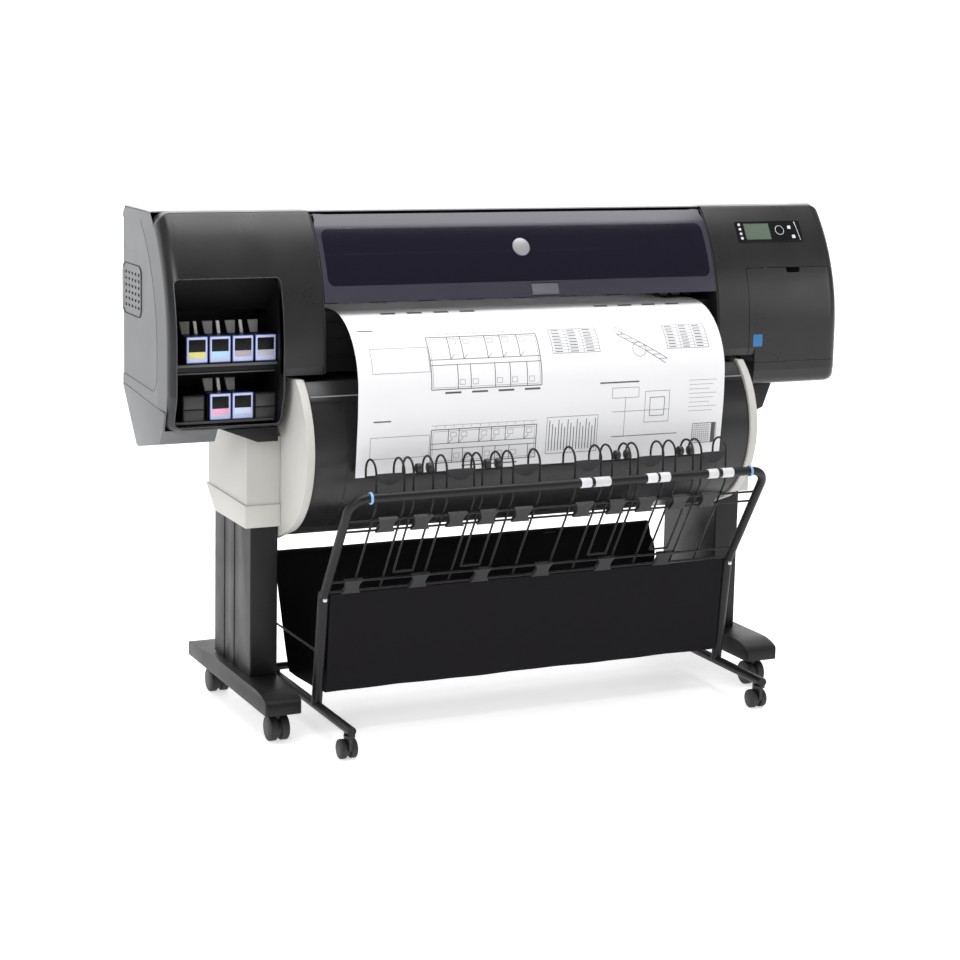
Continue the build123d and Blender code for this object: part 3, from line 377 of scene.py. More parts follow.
def window_tint():
    """A tinted sheet whose pane, a rounded rectangle in X and Z, is darker than its border."""
    material = bpy.data.materials.new("window_tint")
    material.use_nodes = True
    tree = material.node_tree
    shader = tree.nodes["Principled BSDF"]
    shader.inputs["Roughness"].default_value = 0.12
    shader.inputs["IOR"].default_value = 1.49
    place = tree.nodes.new("ShaderNodeTexCoord")
    split = tree.nodes.new("ShaderNodeSeparateXYZ")
    tree.links.new(place.outputs["Object"], split.inputs["Vector"])
    corner = 0.02
    past = tree.nodes.new("ShaderNodeCombineXYZ")
    for axis, middle, half in (("X", 0.0, 0.562), ("Z", 1.226, 0.07)):
        centred = tree.nodes.new("ShaderNodeMath")
        centred.operation = "SUBTRACT"
        centred.inputs[1].default_value = middle
        tree.links.new(split.outputs[axis], centred.inputs[0])
        distance = tree.nodes.new("ShaderNodeMath")
        distance.operation = "ABSOLUTE"
        tree.links.new(centred.outputs["Value"], distance.inputs[0])
        beyond = tree.nodes.new("ShaderNodeMath")
        beyond.operation = "SUBTRACT"
        beyond.inputs[1].default_value = half - corner
        tree.links.new(distance.outputs["Value"], beyond.inputs[0])
        kept = tree.nodes.new("ShaderNodeMath")
        kept.operation = "MAXIMUM"
        kept.inputs[1].default_value = 0
        tree.links.new(beyond.outputs["Value"], kept.inputs[0])
        tree.links.new(kept.outputs["Value"], past.inputs[axis])
    from_corner = tree.nodes.new("ShaderNodeVectorMath")
    from_corner.operation = "LENGTH"
    tree.links.new(past.outputs["Vector"], from_corner.inputs[0])
    pane = tree.nodes.new("ShaderNodeMath")
    pane.operation = "LESS_THAN"
    pane.inputs[1].default_value = corner
    tree.links.new(from_corner.outputs["Value"], pane.inputs[0])
    # the border's colour varies in soft patches, a painted reflection of streaks on the sheet
    reflection_streaks = tree.nodes.new("ShaderNodeTexNoise")
    reflection_streaks.inputs["Scale"].default_value = 6
    tree.links.new(place.outputs["Object"], reflection_streaks.inputs["Vector"])
    border = tree.nodes.new("ShaderNodeValToRGB")
    border.color_ramp.elements[0].color = (0.034, 0.032, 0.046, 1)
    border.color_ramp.elements[1].color = (0.046, 0.043, 0.062, 1)
    tree.links.new(reflection_streaks.outputs["Fac"], border.inputs["Fac"])
    mix = tree.nodes.new("ShaderNodeMix")
    mix.data_type = "RGBA"
    tree.links.new(pane.outputs["Value"], mix.inputs["Factor"])
    tree.links.new(border.outputs["Color"], mix.inputs["A"])
    mix.inputs["B"].default_value = (0.0045, 0.004, 0.013, 1)
    tree.links.new(mix.outputs["Result"], shader.inputs["Base Color"])
    clear = tree.nodes.new("ShaderNodeMapRange")
    clear.inputs["To Min"].default_value = 0.96
    clear.inputs["To Max"].default_value = 0.86
    tree.links.new(pane.outputs["Value"], clear.inputs["Value"])
    tree.links.new(clear.outputs["Result"], shader.inputs["Alpha"])
    return material


paint("window", window_tint())
latch_grey = coated("latch_grey", (0.1, 0.098, 0.12), 0.35, 0.0009, 0.00004)
paint("window_latch", latch_grey)

# Badge. A plain satin disc with a raised rim, pressed on to the window's middle.
badge_z = 1.243
badge_slope = math.asin((badge_z - 1.0) / face_radius)
badge_y = face_centre_y - face_radius * math.cos(badge_slope)
deselect()
bpy.ops.mesh.primitive_cylinder_add(vertices=64, radius=0.0245, depth=0.004)
badge = bpy.context.object
bpy.ops.object.mode_set(mode="EDIT")
bpy.ops.mesh.inset(thickness=0.002)
bpy.ops.object.mode_set(mode="OBJECT")
badge.rotation_euler = (math.pi / 2 - badge_slope, 0, 0)
badge.location = (-0.004, badge_y - 0.0012, badge_z + 0.0006)
rim = badge.modifiers.new("rim", "BEVEL")
rim.width = 0.0008
rim.segments = 3
bpy.ops.object.modifier_apply(modifier=rim.name)
badge.name = "badge"
badge_metal = coated("badge_metal", (0.4, 0.4, 0.42), 0.34, 0.0008, 0.00003, metallic=0.6, tint=0.03)
settle(badge, badge_metal, "window")

# Print zone. A ribbed black platen, a ground steel rail, the carriage with its heads, and
# rubber feed and pinch rollers.
roller_rubber = coated("roller_rubber", (0.03, 0.03, 0.03), 0.8, 0.0007, 0.0002)
ground_steel = coated("ground_steel", (0.6, 0.6, 0.61), 0.2, 0.002, 0.00002, metallic=1.0, tint=0.04)
paint("platen", black_moulding)
paint("carriage_rail", ground_steel)
paint("carriage", black_moulding)
paint("print_heads", charcoal)
paint("feed_roller", roller_rubber)
paint("pinch_rollers", roller_rubber)

# Ink bay. A black liner holds two rows of slots. Grey latching levers stand above each cartridge, and a
# pale peg above all but the fourth and sixth.
bay_black = coated("bay_black", (0.0045, 0.0045, 0.005), 0.4, 0.0009, 0.00012, sheen=0.2)
lever_grey = coated("lever_grey", (0.2, 0.2, 0.19), 0.45, 0.0009, 0.0001)
peg_white = coated("peg_white", (0.62, 0.62, 0.58), 0.45, 0.0009, 0.0001)
paint("ink_bay", bay_black)

# Blanks and shelf lips. Grey plates with a pressed line close the two unused places, and a lighter grey
# strip on each shelf's front edge and on the row block's edge is a painted highlight along those edges.
blank_grey = coated("blank_grey", (0.03, 0.03, 0.031), 0.45, 0.0009, 0.00012)
# lighter than the black liner: painted highlights along the shelf and block edges
lip_highlight_grey = coated("lip_highlight_grey", (0.075, 0.075, 0.08), 0.4, 0.0009, 0.00008)
lower_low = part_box("ink_cartridge_5")[0]
upper_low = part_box("ink_cartridge_1")[0]
bay_middle = (bay_left + bay_right) / 2 - 0.002
upper_lip_place = (bay_middle, upper_low.y - 0.0065, upper_low.z - 0.005)
lower_lip_place = (bay_middle, lower_low.y + 0.0015, lower_low.z - 0.005)
bay_fittings = [
    ("upper_shelf_lip_highlight", upper_lip_place, (0.274, 0.001, 0.0066), lip_highlight_grey),
    ("lower_shelf_lip_highlight", lower_lip_place, (0.262, 0.001, 0.0066), lip_highlight_grey),
    ("row_block_edge_highlight", (bay_middle, -0.087, lower_low.z + 0.118), (0.274, 0.002, 0.003), lip_highlight_grey),
]
for side, x in (("left", -0.9085), ("right", -0.72)):
    for row, z, height in (("upper", 0.045, 0.03), ("lower", 0.013, 0.026)):
        place = (x, -0.0965, lower_low.z + z)
        bay_fittings.append((f"blank_{side}_{row}", place, (0.05, 0.002, height), blank_grey))
for name, place, size, material in bay_fittings:
    deselect()
    bpy.ops.mesh.primitive_cube_add(size=1, location=place)
    fitting = bpy.context.object
    bpy.ops.transform.resize(value=size)
    bpy.ops.object.transform_apply(location=False, rotation=False, scale=True)
    edge = fitting.modifiers.new("edge", "BEVEL")
    edge.width = 0.0004
    edge.segments = 2
    bpy.ops.object.modifier_apply(modifier=edge.name)
    fitting.name = name
    settle(fitting, material, "machine")

# Cartridges. Dark navy mouldings with a pale lavender face in a blue outline, a black grip
# window, and a band in the ink's own colour below it.
cartridge_navy = coated("cartridge_navy", (0.008, 0.01, 0.03), 0.3, 0.001, 0.00005, tint=0.04)
lavender = coated("lavender", (0.16, 0.22, 0.6), 0.3, 0.001, 0.00005, tint=0.04)
pale_frame = coated("pale_frame", (0.52, 0.58, 0.84), 0.3, 0.001, 0.00005, tint=0.03)
ink_colours = [
    ("yellow", (0.72, 0.66, 0.2)),
    ("light_blue", (0.42, 0.66, 0.86)),
    ("mauve", (0.42, 0.36, 0.42)),
    ("grey", (0.46, 0.46, 0.5)),
    ("pink", (0.86, 0.4, 0.58)),
    ("pale_blue", (0.6, 0.7, 0.9)),
]
for number, (ink, colour) in enumerate(ink_colours, 1):
    body = f"ink_cartridge_{number}"
    paint(body, cartridge_navy)
    low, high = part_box(body)
    middle_x = (low.x + high.x) / 2
    band_material = coated("ink_" + ink, colour, 0.35, 0.001, 0.00005, tint=0.03)
    parts = [
        ("outline", 0.0545, 0.066, 0.0006, 0.034, lavender, "cartridge_plastic"),
        ("front", 0.0515, 0.063, 0, 0.034, pale_frame, "cartridge_plastic"),
        ("grip", 0.044, 0.031, -0.0008, 0.0445, bay_black, "black_plastic"),
        ("band", 0.044, 0.015, -0.0008, 0.0212, band_material, "cartridge_plastic"),
    ]
    for part, width, height, y, z, material, slot in parts:
        size = (width, 0.002, height)
        deselect()
        bpy.ops.mesh.primitive_cube_add(size=1, location=(middle_x, low.y + y, low.z + z))
        plate = bpy.context.object
        bpy.ops.transform.resize(value=size)
        bpy.ops.object.transform_apply(location=False, rotation=False, scale=True)
        edge = plate.modifiers.new("edge", "BEVEL")
        edge.width = 0.0009
        edge.segments = 2
        bpy.ops.object.modifier_apply(modifier=edge.name)
        plate.name = f"{body}_{part}"
        settle(plate, material, body)
    for part, offset, width, flare, material in (
        ("lever", -0.018, 0.019, 1.4, lever_grey),
        ("peg", 0.0095, 0.0075, 1.0, peg_white),
    ):
        if part == "peg" and number in (4, 6):
            continue
        deselect()
        bpy.ops.mesh.primitive_cube_add(size=1, location=(middle_x + offset, low.y + 0.04, high.z + 0.0165))
        lever = bpy.context.object
        bpy.ops.transform.resize(value=(width, 0.008, 0.031))
        bpy.ops.object.transform_apply(location=False, rotation=False, scale=True)
        for vertex in lever.data.vertices:
            if vertex.co.z > 0:
                vertex.co.y += 0.012
                vertex.co.x *= flare
        edge = lever.modifiers.new("edge", "BEVEL")
        edge.width = 0.0012
        edge.segments = 2
        bpy.ops.object.modifier_apply(modifier=edge.name)
        lever.name = f"bay_{part}_{number}"
        settle(lever, material, "machine")

# Control panel. A dark bezel with a grey green display, small pale buttons, a round
# cursor pad and a bright slanted line at its right.
button_white = coated("button_white", (0.6, 0.62, 0.66), 0.35, 0.001, 0.00003, tint=0.03)
panel_black = coated("panel_black", (0.005, 0.0055, 0.006), 0.2, 0.001, 0.00003, sheen=0.3)
paint("panel_bezel", panel_black)
for number in range(1, 5):
    paint(f"menu_button_{number}", button_white)
for name in ("cursor_pad", "back_button", "cancel_button"):
    paint(name, panel_black if name == "cursor_pad" else button_white)


def display_screen():
    """A grey green display with rows of dark marks, in the panel's own slope."""
    material = bpy.data.materials.new("display_screen")
    material.use_nodes = True
    tree = material.node_tree
    shader = tree.nodes["Principled BSDF"]
    shader.inputs["Roughness"].default_value = 0.15
    place = tree.nodes.new("ShaderNodeTexCoord")
    rows = tree.nodes.new("ShaderNodeTexBrick")
    rows.inputs["Scale"].default_value = 60
    rows.inputs["Color1"].default_value = (0.085, 0.115, 0.085, 1)
    rows.inputs["Color2"].default_value = (0.06, 0.085, 0.065, 1)
    rows.inputs["Mortar"].default_value = (0.115, 0.15, 0.11, 1)
    rows.inputs["Mortar Size"].default_value = 0.06
    turn = tree.nodes.new("ShaderNodeMapping")
    turn.inputs["Rotation"].default_value = (math.pi / 2, 0, 0)
    tree.links.new(place.outputs["Object"], turn.inputs["Vector"])
    tree.links.new(turn.outputs["Vector"], rows.inputs["Vector"])
    tree.links.new(rows.outputs["Color"], shader.inputs["Base Color"])
    return material


paint("panel_display", display_screen())

# the round pad's bright ring and the slanted silver line lie on the panel's own slope
panel_slope = math.asin((1.271 - 1.0) / 0.524)
panel_turn = Matrix.Rotation(math.pi / 2 - panel_slope, 4, "X")
panel_face = Vector((0.778, 0.377 - 0.524 * math.cos(panel_slope), 1.271))
deselect()
bpy.ops.mesh.primitive_torus_add(
    major_radius=0.0135, minor_radius=0.0008, major_segments=48, minor_segments=8)
ring = bpy.context.object
ring.matrix_world = Matrix.Translation(panel_face) @ panel_turn @ Matrix.Translation((0.034, 0.002, 0.0027))
ring.name = "pad_ring"
settle(ring, button_white, "cursor_pad")
deselect()
bpy.ops.mesh.primitive_cube_add(size=1)
line = bpy.context.object
bpy.ops.transform.resize(value=(0.0022, 0.058, 0.0008))
bpy.ops.object.transform_apply(location=False, rotation=False, scale=True)
edge = line.modifiers.new("edge", "BEVEL")
edge.width = 0.0003
edge.segments = 2
bpy.ops.object.modifier_apply(modifier=edge.name)
line.matrix_world = (
    Matrix.Translation(panel_face) @ panel_turn
    @ Matrix.Translation((0.093, 0, 0.0016)) @ Matrix.Rotation(math.radians(7), 4, "Z"))
line.name = "panel_line"
silver_line = coated("silver_line", (0.62, 0.64, 0.66), 0.3, 0.001, 0.00002, metallic=0.4)
settle(line, silver_line, "machine")

# Printed sheet. A width of roll stock comes off the platen, curls out over the roll
# module and hangs. It is drawn with thin lines: plans, tables, an arm, details and a hatch.
sheet_width = 1.067
sheet_gap = 0.0003
runs = [(0.135, 0), (0.2922, 90), (0.040, 0), (0.0524, 5), (0.129, 0)]
start_y, start_z = 0.060, 1.0906


def sheet_place(along, lift=0.0):
    """Y and Z at a distance along the sheet, lifted off its lower face."""
    y, z, heading = start_y, start_z, 0.0
    for length, turn in runs:
        step = min(along, length)
        bend = math.radians(turn) * step / length
        if abs(bend) > 1e-6:
            chord = 2 * step / bend * math.sin(bend / 2)
        else:
            chord = step
        y -= chord * math.cos(heading + bend / 2)
        z -= chord * math.sin(heading + bend / 2)
        heading += bend
        along -= step
        if along <= 0:
            break
    return y - lift * math.sin(heading), z + lift * math.cos(heading)


sheet_length = sum(length for length, turn in runs)
paper = coated("paper", (0.8, 0.8, 0.815), 0.8, 0.0015, 0.00004, tint=0.01)
ink_black = coated("ink_black", (0.09, 0.09, 0.1), 0.8, 0.001, 0.00002)
deselect()
bpy.ops.mesh.primitive_grid_add(x_subdivisions=24, y_subdivisions=120, size=1)
sheet = bpy.context.object
for vertex in sheet.data.vertices:
    across, along = vertex.co.x, vertex.co.y + 0.5
    y, z = sheet_place(along * sheet_length, sheet_gap)
    vertex.co = (across * sheet_width, y, z)
bpy.ops.object.mode_set(mode="EDIT")
bpy.ops.mesh.select_all(action="SELECT")
bpy.ops.mesh.flip_normals()
bpy.ops.object.mode_set(mode="OBJECT")
body_of_paper = sheet.modifiers.new("thickness", "SOLIDIFY")
body_of_paper.thickness = 0.0002
body_of_paper.offset = 0
bpy.ops.object.modifier_apply(modifier=body_of_paper.name)
sheet.name = "plan_sheet"
settle(sheet, paper, "machine")
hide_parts("printed_sheet")

strokes = bmesh.new()


def stroke(x0, s0, x1, s1, width=0.0012):
    """A straight ink line on the sheet; x runs across it, s runs down from the platen's edge."""
    length = math.hypot(x1 - x0, s1 - s0)
    if length == 0:
        return
    nx, ns = -(s1 - s0) / length * width / 2, (x1 - x0) / length * width / 2
    pieces = max(1, int(length / 0.007)) if abs(s1 - s0) > 0.003 else 1
    for index in range(pieces):
        corners = []
        for t, side in ((index, 1), (index + 1, 1), (index + 1, -1), (index, -1)):
            x = x0 + (x1 - x0) * t / pieces + nx * side
            s = s0 + (s1 - s0) * t / pieces + ns * side
            y, z = sheet_place(0.135 + s, sheet_gap + 0.00035)
            corners.append(strokes.verts.new((x, y, z)))
        face = strokes.faces.new(corners)
        face.normal_update()
        if face.normal.y > 0 and face.normal.z < 0.3:
            face.normal_flip()


def frame_of(x0, s0, x1, s1, width=0.0012):
    """A ruled rectangle."""
    stroke(x0, s0, x1, s0, width)
    stroke(x1, s0, x1, s1, width)
    stroke(x1, s1, x0, s1, width)
    stroke(x0, s1, x0, s0, width)


def table_of(x0, s0, x1, s1, rows, columns):
    """A ruled table with short marks in its cells."""
    frame_of(x0, s0, x1, s1)
    for row in range(1, rows):
        s = s0 + (s1 - s0) * row / rows
        stroke(x0, s, x1, s, 0.0008)
    for column in range(1, columns):
        x = x0 + (x1 - x0) * column / columns
        stroke(x, s0, x, s1, 0.0008)
    for row in range(rows):
        for column in range(columns):
            x = x0 + (x1 - x0) * (column + 0.15) / columns
            s = s0 + (s1 - s0) * (row + 0.5) / rows
            stroke(x, s, x + (x1 - x0) * 0.5 / columns, s, 0.0022)


def plan_of(x0, s0, x1, s1, rooms):
    """A building plan: double outer walls, two rows of uneven rooms, doors and a dimension line."""
    frame_of(x0, s0, x1, s1, 0.0022)
    frame_of(x0 + 0.005, s0 + 0.005, x1 - 0.005, s1 - 0.005, 0.0008)
    middle = (s0 + s1) / 2
    stroke(x0, middle - 0.007, x1, middle - 0.007, 0.0016)
    stroke(x0, middle + 0.007, x1, middle + 0.007, 0.0016)
    for room in range(1, rooms):
        x = x0 + (x1 - x0) * (room + 0.18 * math.sin(room * 2.4)) / rooms
        shift = (x1 - x0) * 0.3 / rooms
        stroke(x, s0, x, middle - 0.007, 0.002)
        stroke(x + shift, middle + 0.007, x + shift, s1, 0.002)
        stroke(x, middle - 0.007, x + 0.013, middle - 0.02)
        frame_of(x + 0.006, s0 + 0.009, x + 0.022, s0 + 0.021, 0.0009)
        frame_of(x + shift + 0.005, s1 - 0.024, x + shift + 0.02, s1 - 0.011, 0.0009)
    for index in range(12):
        x = x0 + (x1 - x0) * (index + 0.5) / 12
        stroke(x, s0 - 0.011, x, s0 - 0.004, 0.0008)
    stroke(x0, s0 - 0.011, x1, s0 - 0.011, 0.0008)


def dashes(x0, s, pitch, number, length, width):
    """A row of thick dashes."""
    for index in range(number):
        stroke(x0 + index * pitch, s, x0 + index * pitch + length, s, width)


# marks at the top edge, then the first plan with a heading, a side box and a broken wall
dashes(-0.423, 0.056, 0.0747, 4, 0.042, 0.01)
dashes(0.198, 0.052, 0.0735, 4, 0.042, 0.01)
stroke(-0.512, 0.129, -0.47, 0.129, 0.0035)
frame_of(-0.493, 0.184, -0.336, 0.249, 0.001)
plan_of(-0.333, 0.157, -0.02, 0.296, 6)
dashes(-0.295, 0.305, 0.0753, 4, 0.045, 0.005)

# two tables with a slanted arm between them
table_of(0.019, 0.146, 0.158, 0.216, 8, 3)
table_of(0.362, 0.146, 0.49, 0.216, 8, 3)
for index in range(7):
    x = 0.224 + index * 0.019
    s = 0.158 + index * 0.012
    stroke(x, s, x + 0.019, s + 0.012, 0.0016)
    stroke(x - 0.006, s + 0.012, x + 0.013, s + 0.024, 0.0016)
    stroke(x - 0.006, s + 0.012, x + 0.019, s + 0.012)
for index in range(12):
    angle = math.pi * index / 6
    next_angle = math.pi * (index + 1) / 6
    for x, s, radius in ((0.226, 0.158, 0.012), (0.276, 0.214, 0.02)):
        stroke(x + radius * math.cos(angle), s + radius * math.sin(angle),
               x + radius * math.cos(next_angle), s + radius * math.sin(next_angle))

# a heading, a detail with its boxes, and notes at the right edge
stroke(0.152, 0.3, 0.27, 0.3, 0.004)
frame_of(0.19, 0.315, 0.27, 0.342)
frame_of(0.29, 0.328, 0.364, 0.412)
frame_of(0.305, 0.345, 0.349, 0.395, 0.0018)
stroke(0.23, 0.342, 0.23, 0.446)
stroke(0.19, 0.379, 0.364, 0.379)
stroke(0.194, 0.447, 0.394, 0.447, 0.002)
for row in range(8):
    s = 0.304 + row * 0.012
    stroke(0.424, s, 0.51 - 0.011 * (row % 3), s, 0.0009)

# the second plan, its side box and line of text, a block of bars and a hatched square
stroke(-0.491, 0.371, -0.443, 0.371, 0.0035)
frame_of(-0.497, 0.412, -0.334, 0.468, 0.001)
plan_of(-0.33, 0.4, -0.03, 0.488, 7)
stroke(-0.24, 0.498, -0.082, 0.498, 0.003)
frame_of(0.0, 0.384, 0.15, 0.482)
for bar in range(16):
    x = 0.008 + bar * 0.009
    stroke(x, 0.392 + 0.01 * (bar % 3), x, 0.474, 0.0022)
frame_of(0.442, 0.424, 0.516, 0.478, 0.0016)
for index in range(1, 9):
    stroke(0.442 + index * 0.0062, 0.424, 0.442 + index * 0.0062, 0.478, 0.0008)
    stroke(0.442, 0.424 + index * 0.006, 0.498, 0.424 + index * 0.006, 0.0008)
stroke(0.507, 0.424, 0.507, 0.478, 0.013)
drawing_mesh = bpy.data.meshes.new("drawing")
strokes.to_mesh(drawing_mesh)
strokes.free()
drawing = bpy.data.objects.new("drawing", drawing_mesh)
bpy.context.collection.objects.link(drawing)
settle(drawing, ink_black, "machine")

# Output bin frame. Bent black tubes and welded wires, with silver bolts at the elbows.
for name in ("stacker_legs", "stacker_top_frame", "stacker_guides", "bag_rear_frame"):
    paint(name, powder_black)
bright_steel = coated("bright_steel", (0.6, 0.6, 0.6), 0.25, 0.001, 0.00002, metallic=1.0)
for side in (-1, 1):
    for index, (y, z) in enumerate(((-0.207, 0.367), (-0.2, 0.345))):
        deselect()
        bpy.ops.mesh.primitive_uv_sphere_add(
            segments=20, ring_count=10, radius=0.0062, location=(side * 0.6, y - 0.0125, z))
        head = bpy.context.object
        bpy.ops.transform.resize(value=(1, 0.55, 1))
        head.name = f"elbow_bolt_{'left' if side < 0 else 'right'}_{index + 1}"
        settle(head, bright_steel, "machine")

# Wire clips, smile plates and rollers. Small black mouldings snap on to the crossbars and
# on to the arches, where the plates carry the sheet's edge.
frame_lean = math.atan2(0.180, 0.293)


def on_frame(distance, behind=0.0):
    """Y and Z of a point up the leaning frame."""
    y = -0.205 - distance * math.sin(frame_lean) + behind * math.cos(frame_lean)
    z = 0.367 + distance * math.cos(frame_lean) + behind * math.sin(frame_lean)
    return y, z


clip_places = [(x, 0.249) for x in (-0.484, -0.388, -0.292, -0.204, -0.106, 0.072, 0.17, 0.258, 0.36, 0.45)]
clip_places += [(x, 0.039) for x in (-0.53, -0.344, -0.167, 0.013, 0.2, 0.38)]
clips = []
for x, distance in clip_places:
    y, z = on_frame(distance, 0.0)
    deselect()
    bpy.ops.mesh.primitive_cube_add(size=1, location=(x, y, z), rotation=(frame_lean, 0, 0))
    clip = bpy.context.object
    bpy.ops.object.mode_set(mode="EDIT")
    bpy.ops.mesh.select_all(action="SELECT")
    bpy.ops.mesh.subdivide(number_cuts=2)
    bpy.ops.object.mode_set(mode="OBJECT")
    clip.scale = (0.052, 0.01, 0.044)
    for vertex in clip.data.vertices:
        if abs(vertex.co.x) > 0.3 and abs(vertex.co.z) < 0.3:
            vertex.co.x *= 0.72
    clips.append(clip)
deselect()
for clip in clips:
    clip.select_set(True)
bpy.context.view_layer.objects.active = clips[0]
bpy.ops.object.join()
clips[0].name = "wire_clips"
settle(clips[0], nylon_black, "machine")

guide_spans = []
for index, middle in enumerate((0.034, 0.132, 0.22, 0.322, 0.412)):
    span = 0.054 if index % 2 else 0.076
    guide_spans.append((middle + 0.038, span))
    guide_spans.append((-middle - 0.072, span))
plates = []
for middle, span in guide_spans:
    if span > 0.06:
        deselect()
        bpy.ops.mesh.primitive_grid_add(x_subdivisions=16, y_subdivisions=3, size=1)
        plate = bpy.context.object
        for vertex in plate.data.vertices:
            across, down = vertex.co.x * 2, vertex.co.y + 0.5
            belly = 1 - across * across
            z = 0.713 - down * (0.006 + 0.024 * belly)
            vertex.co = (middle + across * span / 2, -0.3565 + 0.004 * belly, z)
        wall = plate.modifiers.new("wall", "SOLIDIFY")
        wall.thickness = 0.0022
        bpy.ops.object.modifier_apply(modifier=wall.name)
        plates.append(plate)
    else:
        for side in (-1, 1):
            deselect()
            bpy.ops.mesh.primitive_cylinder_add(
                vertices=28, radius=0.0125, depth=0.013,
                location=(middle + side * span * 0.28, -0.3585, 0.722), rotation=(0, math.pi / 2, 0))
            wheel = bpy.context.object
            rim = wheel.modifiers.new("rim", "BEVEL")
            rim.width = 0.002
            rim.segments = 2
            bpy.ops.object.modifier_apply(modifier=rim.name)
            plates.append(wheel)
deselect()
for plate in plates:
    plate.select_set(True)
bpy.context.view_layer.objects.active = plates[0]
bpy.ops.object.join()
plates[0].name = "sheet_guides"
settle(plates[0], nylon_black, "machine")

# Sleeves and ties. Pale sleeves clip on to the top bar's right half, and a blue tie is
# looped at each of its corners.
sleeve_pale = coated("sleeve_pale", (0.66, 0.66, 0.68), 0.4, 0.001, 0.0001)
tie_blue = coated("tie_blue", (0.22, 0.42, 0.68), 0.45, 0.001, 0.0001)
bar_y, bar_z = on_frame(0.34387)
sleeves = []
for x, length in ((0.05, 0.03), (0.098, 0.045), (0.245, 0.03), (0.283, 0.03), (0.43, 0.03), (0.475, 0.034)):
    deselect()
    bpy.ops.mesh.primitive_cylinder_add(
        vertices=32, radius=0.0128, depth=length, location=(x, bar_y, bar_z), rotation=(0, math.pi / 2, 0))
    sleeve = bpy.context.object
    edge = sleeve.modifiers.new("edge", "BEVEL")
    edge.width = 0.0008
    edge.segments = 2
    bpy.ops.object.modifier_apply(modifier=edge.name)
    sleeves.append(sleeve)
deselect()
for sleeve in sleeves:
    sleeve.select_set(True)
bpy.context.view_layer.objects.active = sleeves[0]
bpy.ops.object.join()
sleeves[0].name = "bar_sleeves"
settle(sleeves[0], sleeve_pale, "machine")
for side in (-1, 1):
    deselect()
    bpy.ops.mesh.primitive_torus_add(
        major_radius=0.0135, minor_radius=0.0022, major_segments=32, minor_segments=10,
        location=(side * 0.548, bar_y, bar_z), rotation=(0, math.pi / 2, 0))
    tie = bpy.context.object
    bpy.ops.object.mode_set(mode="EDIT")
    bpy.ops.mesh.select_all(action="SELECT")
    bpy.ops.transform.resize(value=(1.6, 1, 1))
    bpy.ops.object.mode_set(mode="OBJECT")
    tie.name = "corner_tie_left" if side < 0 else "corner_tie_right"
    settle(tie, tie_blue, "machine")

# Bag. One length of black woven cloth hangs as a trough between the front crossbar and
# the rear tube, whose hem goes over the tube, and sags a little between its ends.
bag_half = 0.583
cloth_black = coated("cloth_black", (0.0065, 0.0055, 0.007), 0.9, 0.0016, 0.0006, tint=0.2, sheen=0.22)
bag_route = [(-0.2115, 0.379), (-0.1995, 0.25), (-0.1885, 0.13), (-0.165, 0.1125), (-0.05, 0.1045),
             (0.06, 0.0995), (0.09, 0.112), (0.14, 0.225), (0.1985, 0.376), (0.2025, 0.388),
             (0.2068, 0.3968), (0.215, 0.4003), (0.2232, 0.3968)]


def bag_place(share):
    """Y and Z at a share of the way along the cloth, smoothly through its route."""
    spots = bag_route
    place = share * (len(spots) - 1)
    index = min(int(place), len(spots) - 2)
    t = place - index
    before = spots[max(index - 1, 0)]
    first, second = spots[index], spots[index + 1]
    after = spots[min(index + 2, len(spots) - 1)]
    result = []
    for a, b, c, d in zip(before, first, second, after):
        result.append(0.5 * (2 * b + (c - a) * t + (2 * a - 5 * b + 4 * c - d) * t**2
                             + (3 * b - a - 3 * c + d) * t**3))
    return result


deselect()
bpy.ops.mesh.primitive_grid_add(x_subdivisions=90, y_subdivisions=70, size=1)
bag = bpy.context.object
for vertex in bag.data.vertices:
    across, share = vertex.co.x * 2, vertex.co.y + 0.5
    y, z = bag_place(share)
    free = math.sin(math.pi * min(max(share, 0), 1)) ** 0.7
    ripple = 0.0016 * math.sin(across * 9 + share * 5) + 0.0009 * math.sin(across * 23 - share * 11)
    vertex.co = (across * bag_half, y + ripple * free, z + ripple * 0.4 * free)
wall = bag.modifiers.new("wall", "SOLIDIFY")
wall.thickness = 0.001
wall.offset = 0
bpy.ops.object.modifier_apply(modifier=wall.name)
bag.name = "cloth_bag"
settle(bag, cloth_black, "machine")
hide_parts("catch_bag")

# Labels. A plain blue square on the service door stands where a printed label is.
label_blue = coated("label_blue", (0.025, 0.17, 0.42), 0.4, 0.001, 0.00002)
deselect()
bpy.ops.mesh.primitive_cube_add(size=1, location=(0.708, -0.1472, 0.975))
label = bpy.context.object
bpy.ops.transform.resize(value=(0.03, 0.0006, 0.034))
label.name = "door_label"
settle(label, label_blue, "service_door")

# Studio. A pale seamless floor and a far white wall, a wide soft light overhead, a large
# one at the front left and a weak fill at the right.


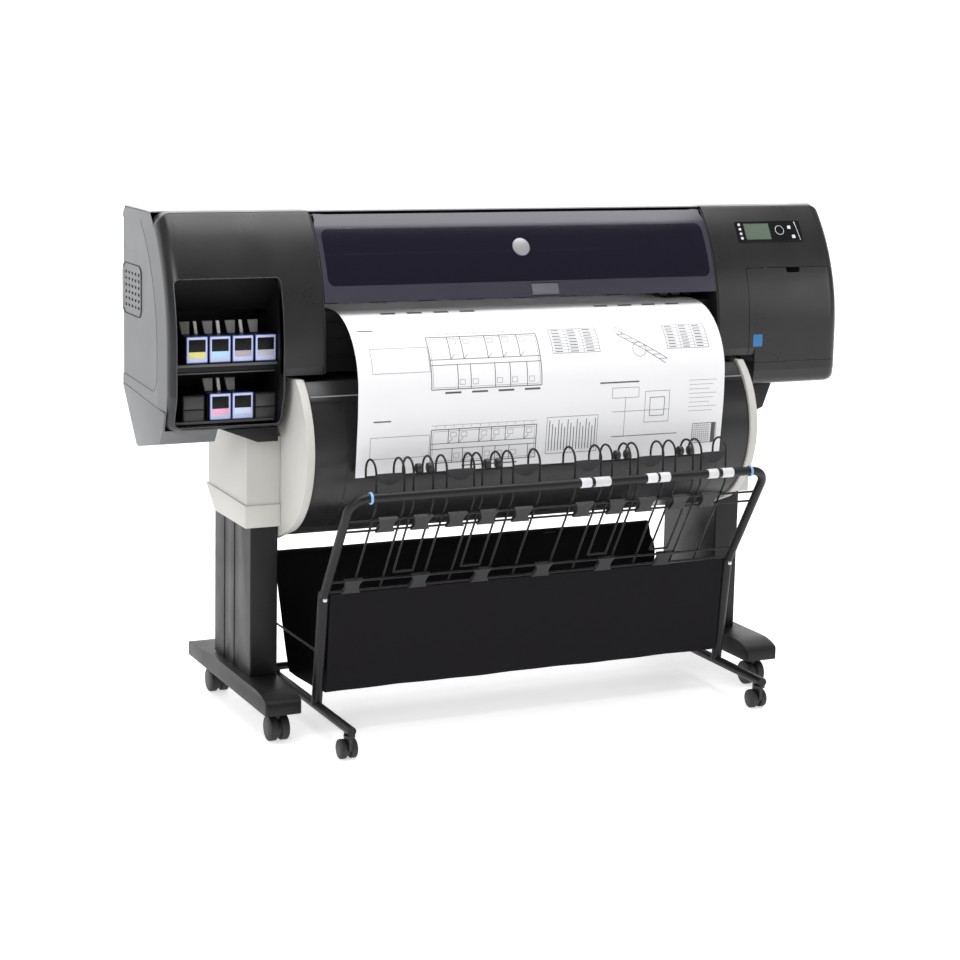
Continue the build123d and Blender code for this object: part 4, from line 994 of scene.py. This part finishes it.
def studio_white(name, glow):
    """White paper that also gives off a little light, so that it stays white far from the lamps."""
    material = coated(name, (0.86, 0.86, 0.865), 0.8, 0.01, 0.00001, tint=0.004)
    shader = material.node_tree.nodes["Principled BSDF"]
    shader.inputs["Emission Color"].default_value = (1, 1, 1, 1)
    shader.inputs["Emission Strength"].default_value = glow
    return material


deselect()
bpy.ops.mesh.primitive_plane_add(size=60, location=(0, 0, 0))
floor = bpy.context.object
floor.name = "studio_floor"
floor.data.materials.append(studio_white("floor_white", 0.55))
deselect()
bpy.ops.mesh.primitive_plane_add(size=60, location=(0, 14, 0), rotation=(math.pi / 2, 0, 0))
backdrop = bpy.context.object
backdrop.name = "studio_wall"
backdrop.data.materials.append(studio_white("wall_white", 1.1))

world = bpy.data.worlds.new("studio")
bpy.context.scene.world = world
world.use_nodes = True
world.node_tree.nodes["Background"].inputs["Color"].default_value = (1, 1, 1, 1)
world.node_tree.nodes["Background"].inputs["Strength"].default_value = 0.28

for name, place, aim, size, power in (
    ("key", (-4.6, -3.6, 3.4), (0, 0, 0.9), (2.4, 2.4), 105),
    ("fill", (4.5, -4.0, 2.2), (0, 0, 0.9), (2.0, 2.0), 40),
    ("top", (0.0, -0.3, 4.4), (0, 0, 1.0), (5.0, 2.4), 190),
):
    light = bpy.data.lights.new(name, "AREA")
    light.shape = "RECTANGLE"
    light.size, light.size_y = size
    light.energy = power
    lamp = bpy.data.objects.new(name, light)
    lamp.location = place
    lamp.rotation_euler = (Vector(aim) - Vector(place)).to_track_quat("-Z", "Y").to_euler()
    bpy.context.collection.objects.link(lamp)

camera = bpy.data.cameras.new("camera")
camera.sensor_width = 36
camera.lens = 82.67
camera.shift_x = -0.0018
camera.shift_y = -0.0833
camera.clip_end = 100
viewer = bpy.data.objects.new("camera", camera)
viewer.matrix_world = (
    Matrix.Translation((-2.5979, -5.3011, 1.7563))
    @ Matrix.Rotation(math.radians(-25.52), 4, "Z")
    @ Matrix.Rotation(math.radians(80.97), 4, "X")
    @ Matrix.Rotation(math.radians(1.25), 4, "Z")
)
bpy.context.collection.objects.link(viewer)
bpy.context.scene.camera = viewer
bpy.context.scene.view_settings.view_transform = "Standard"
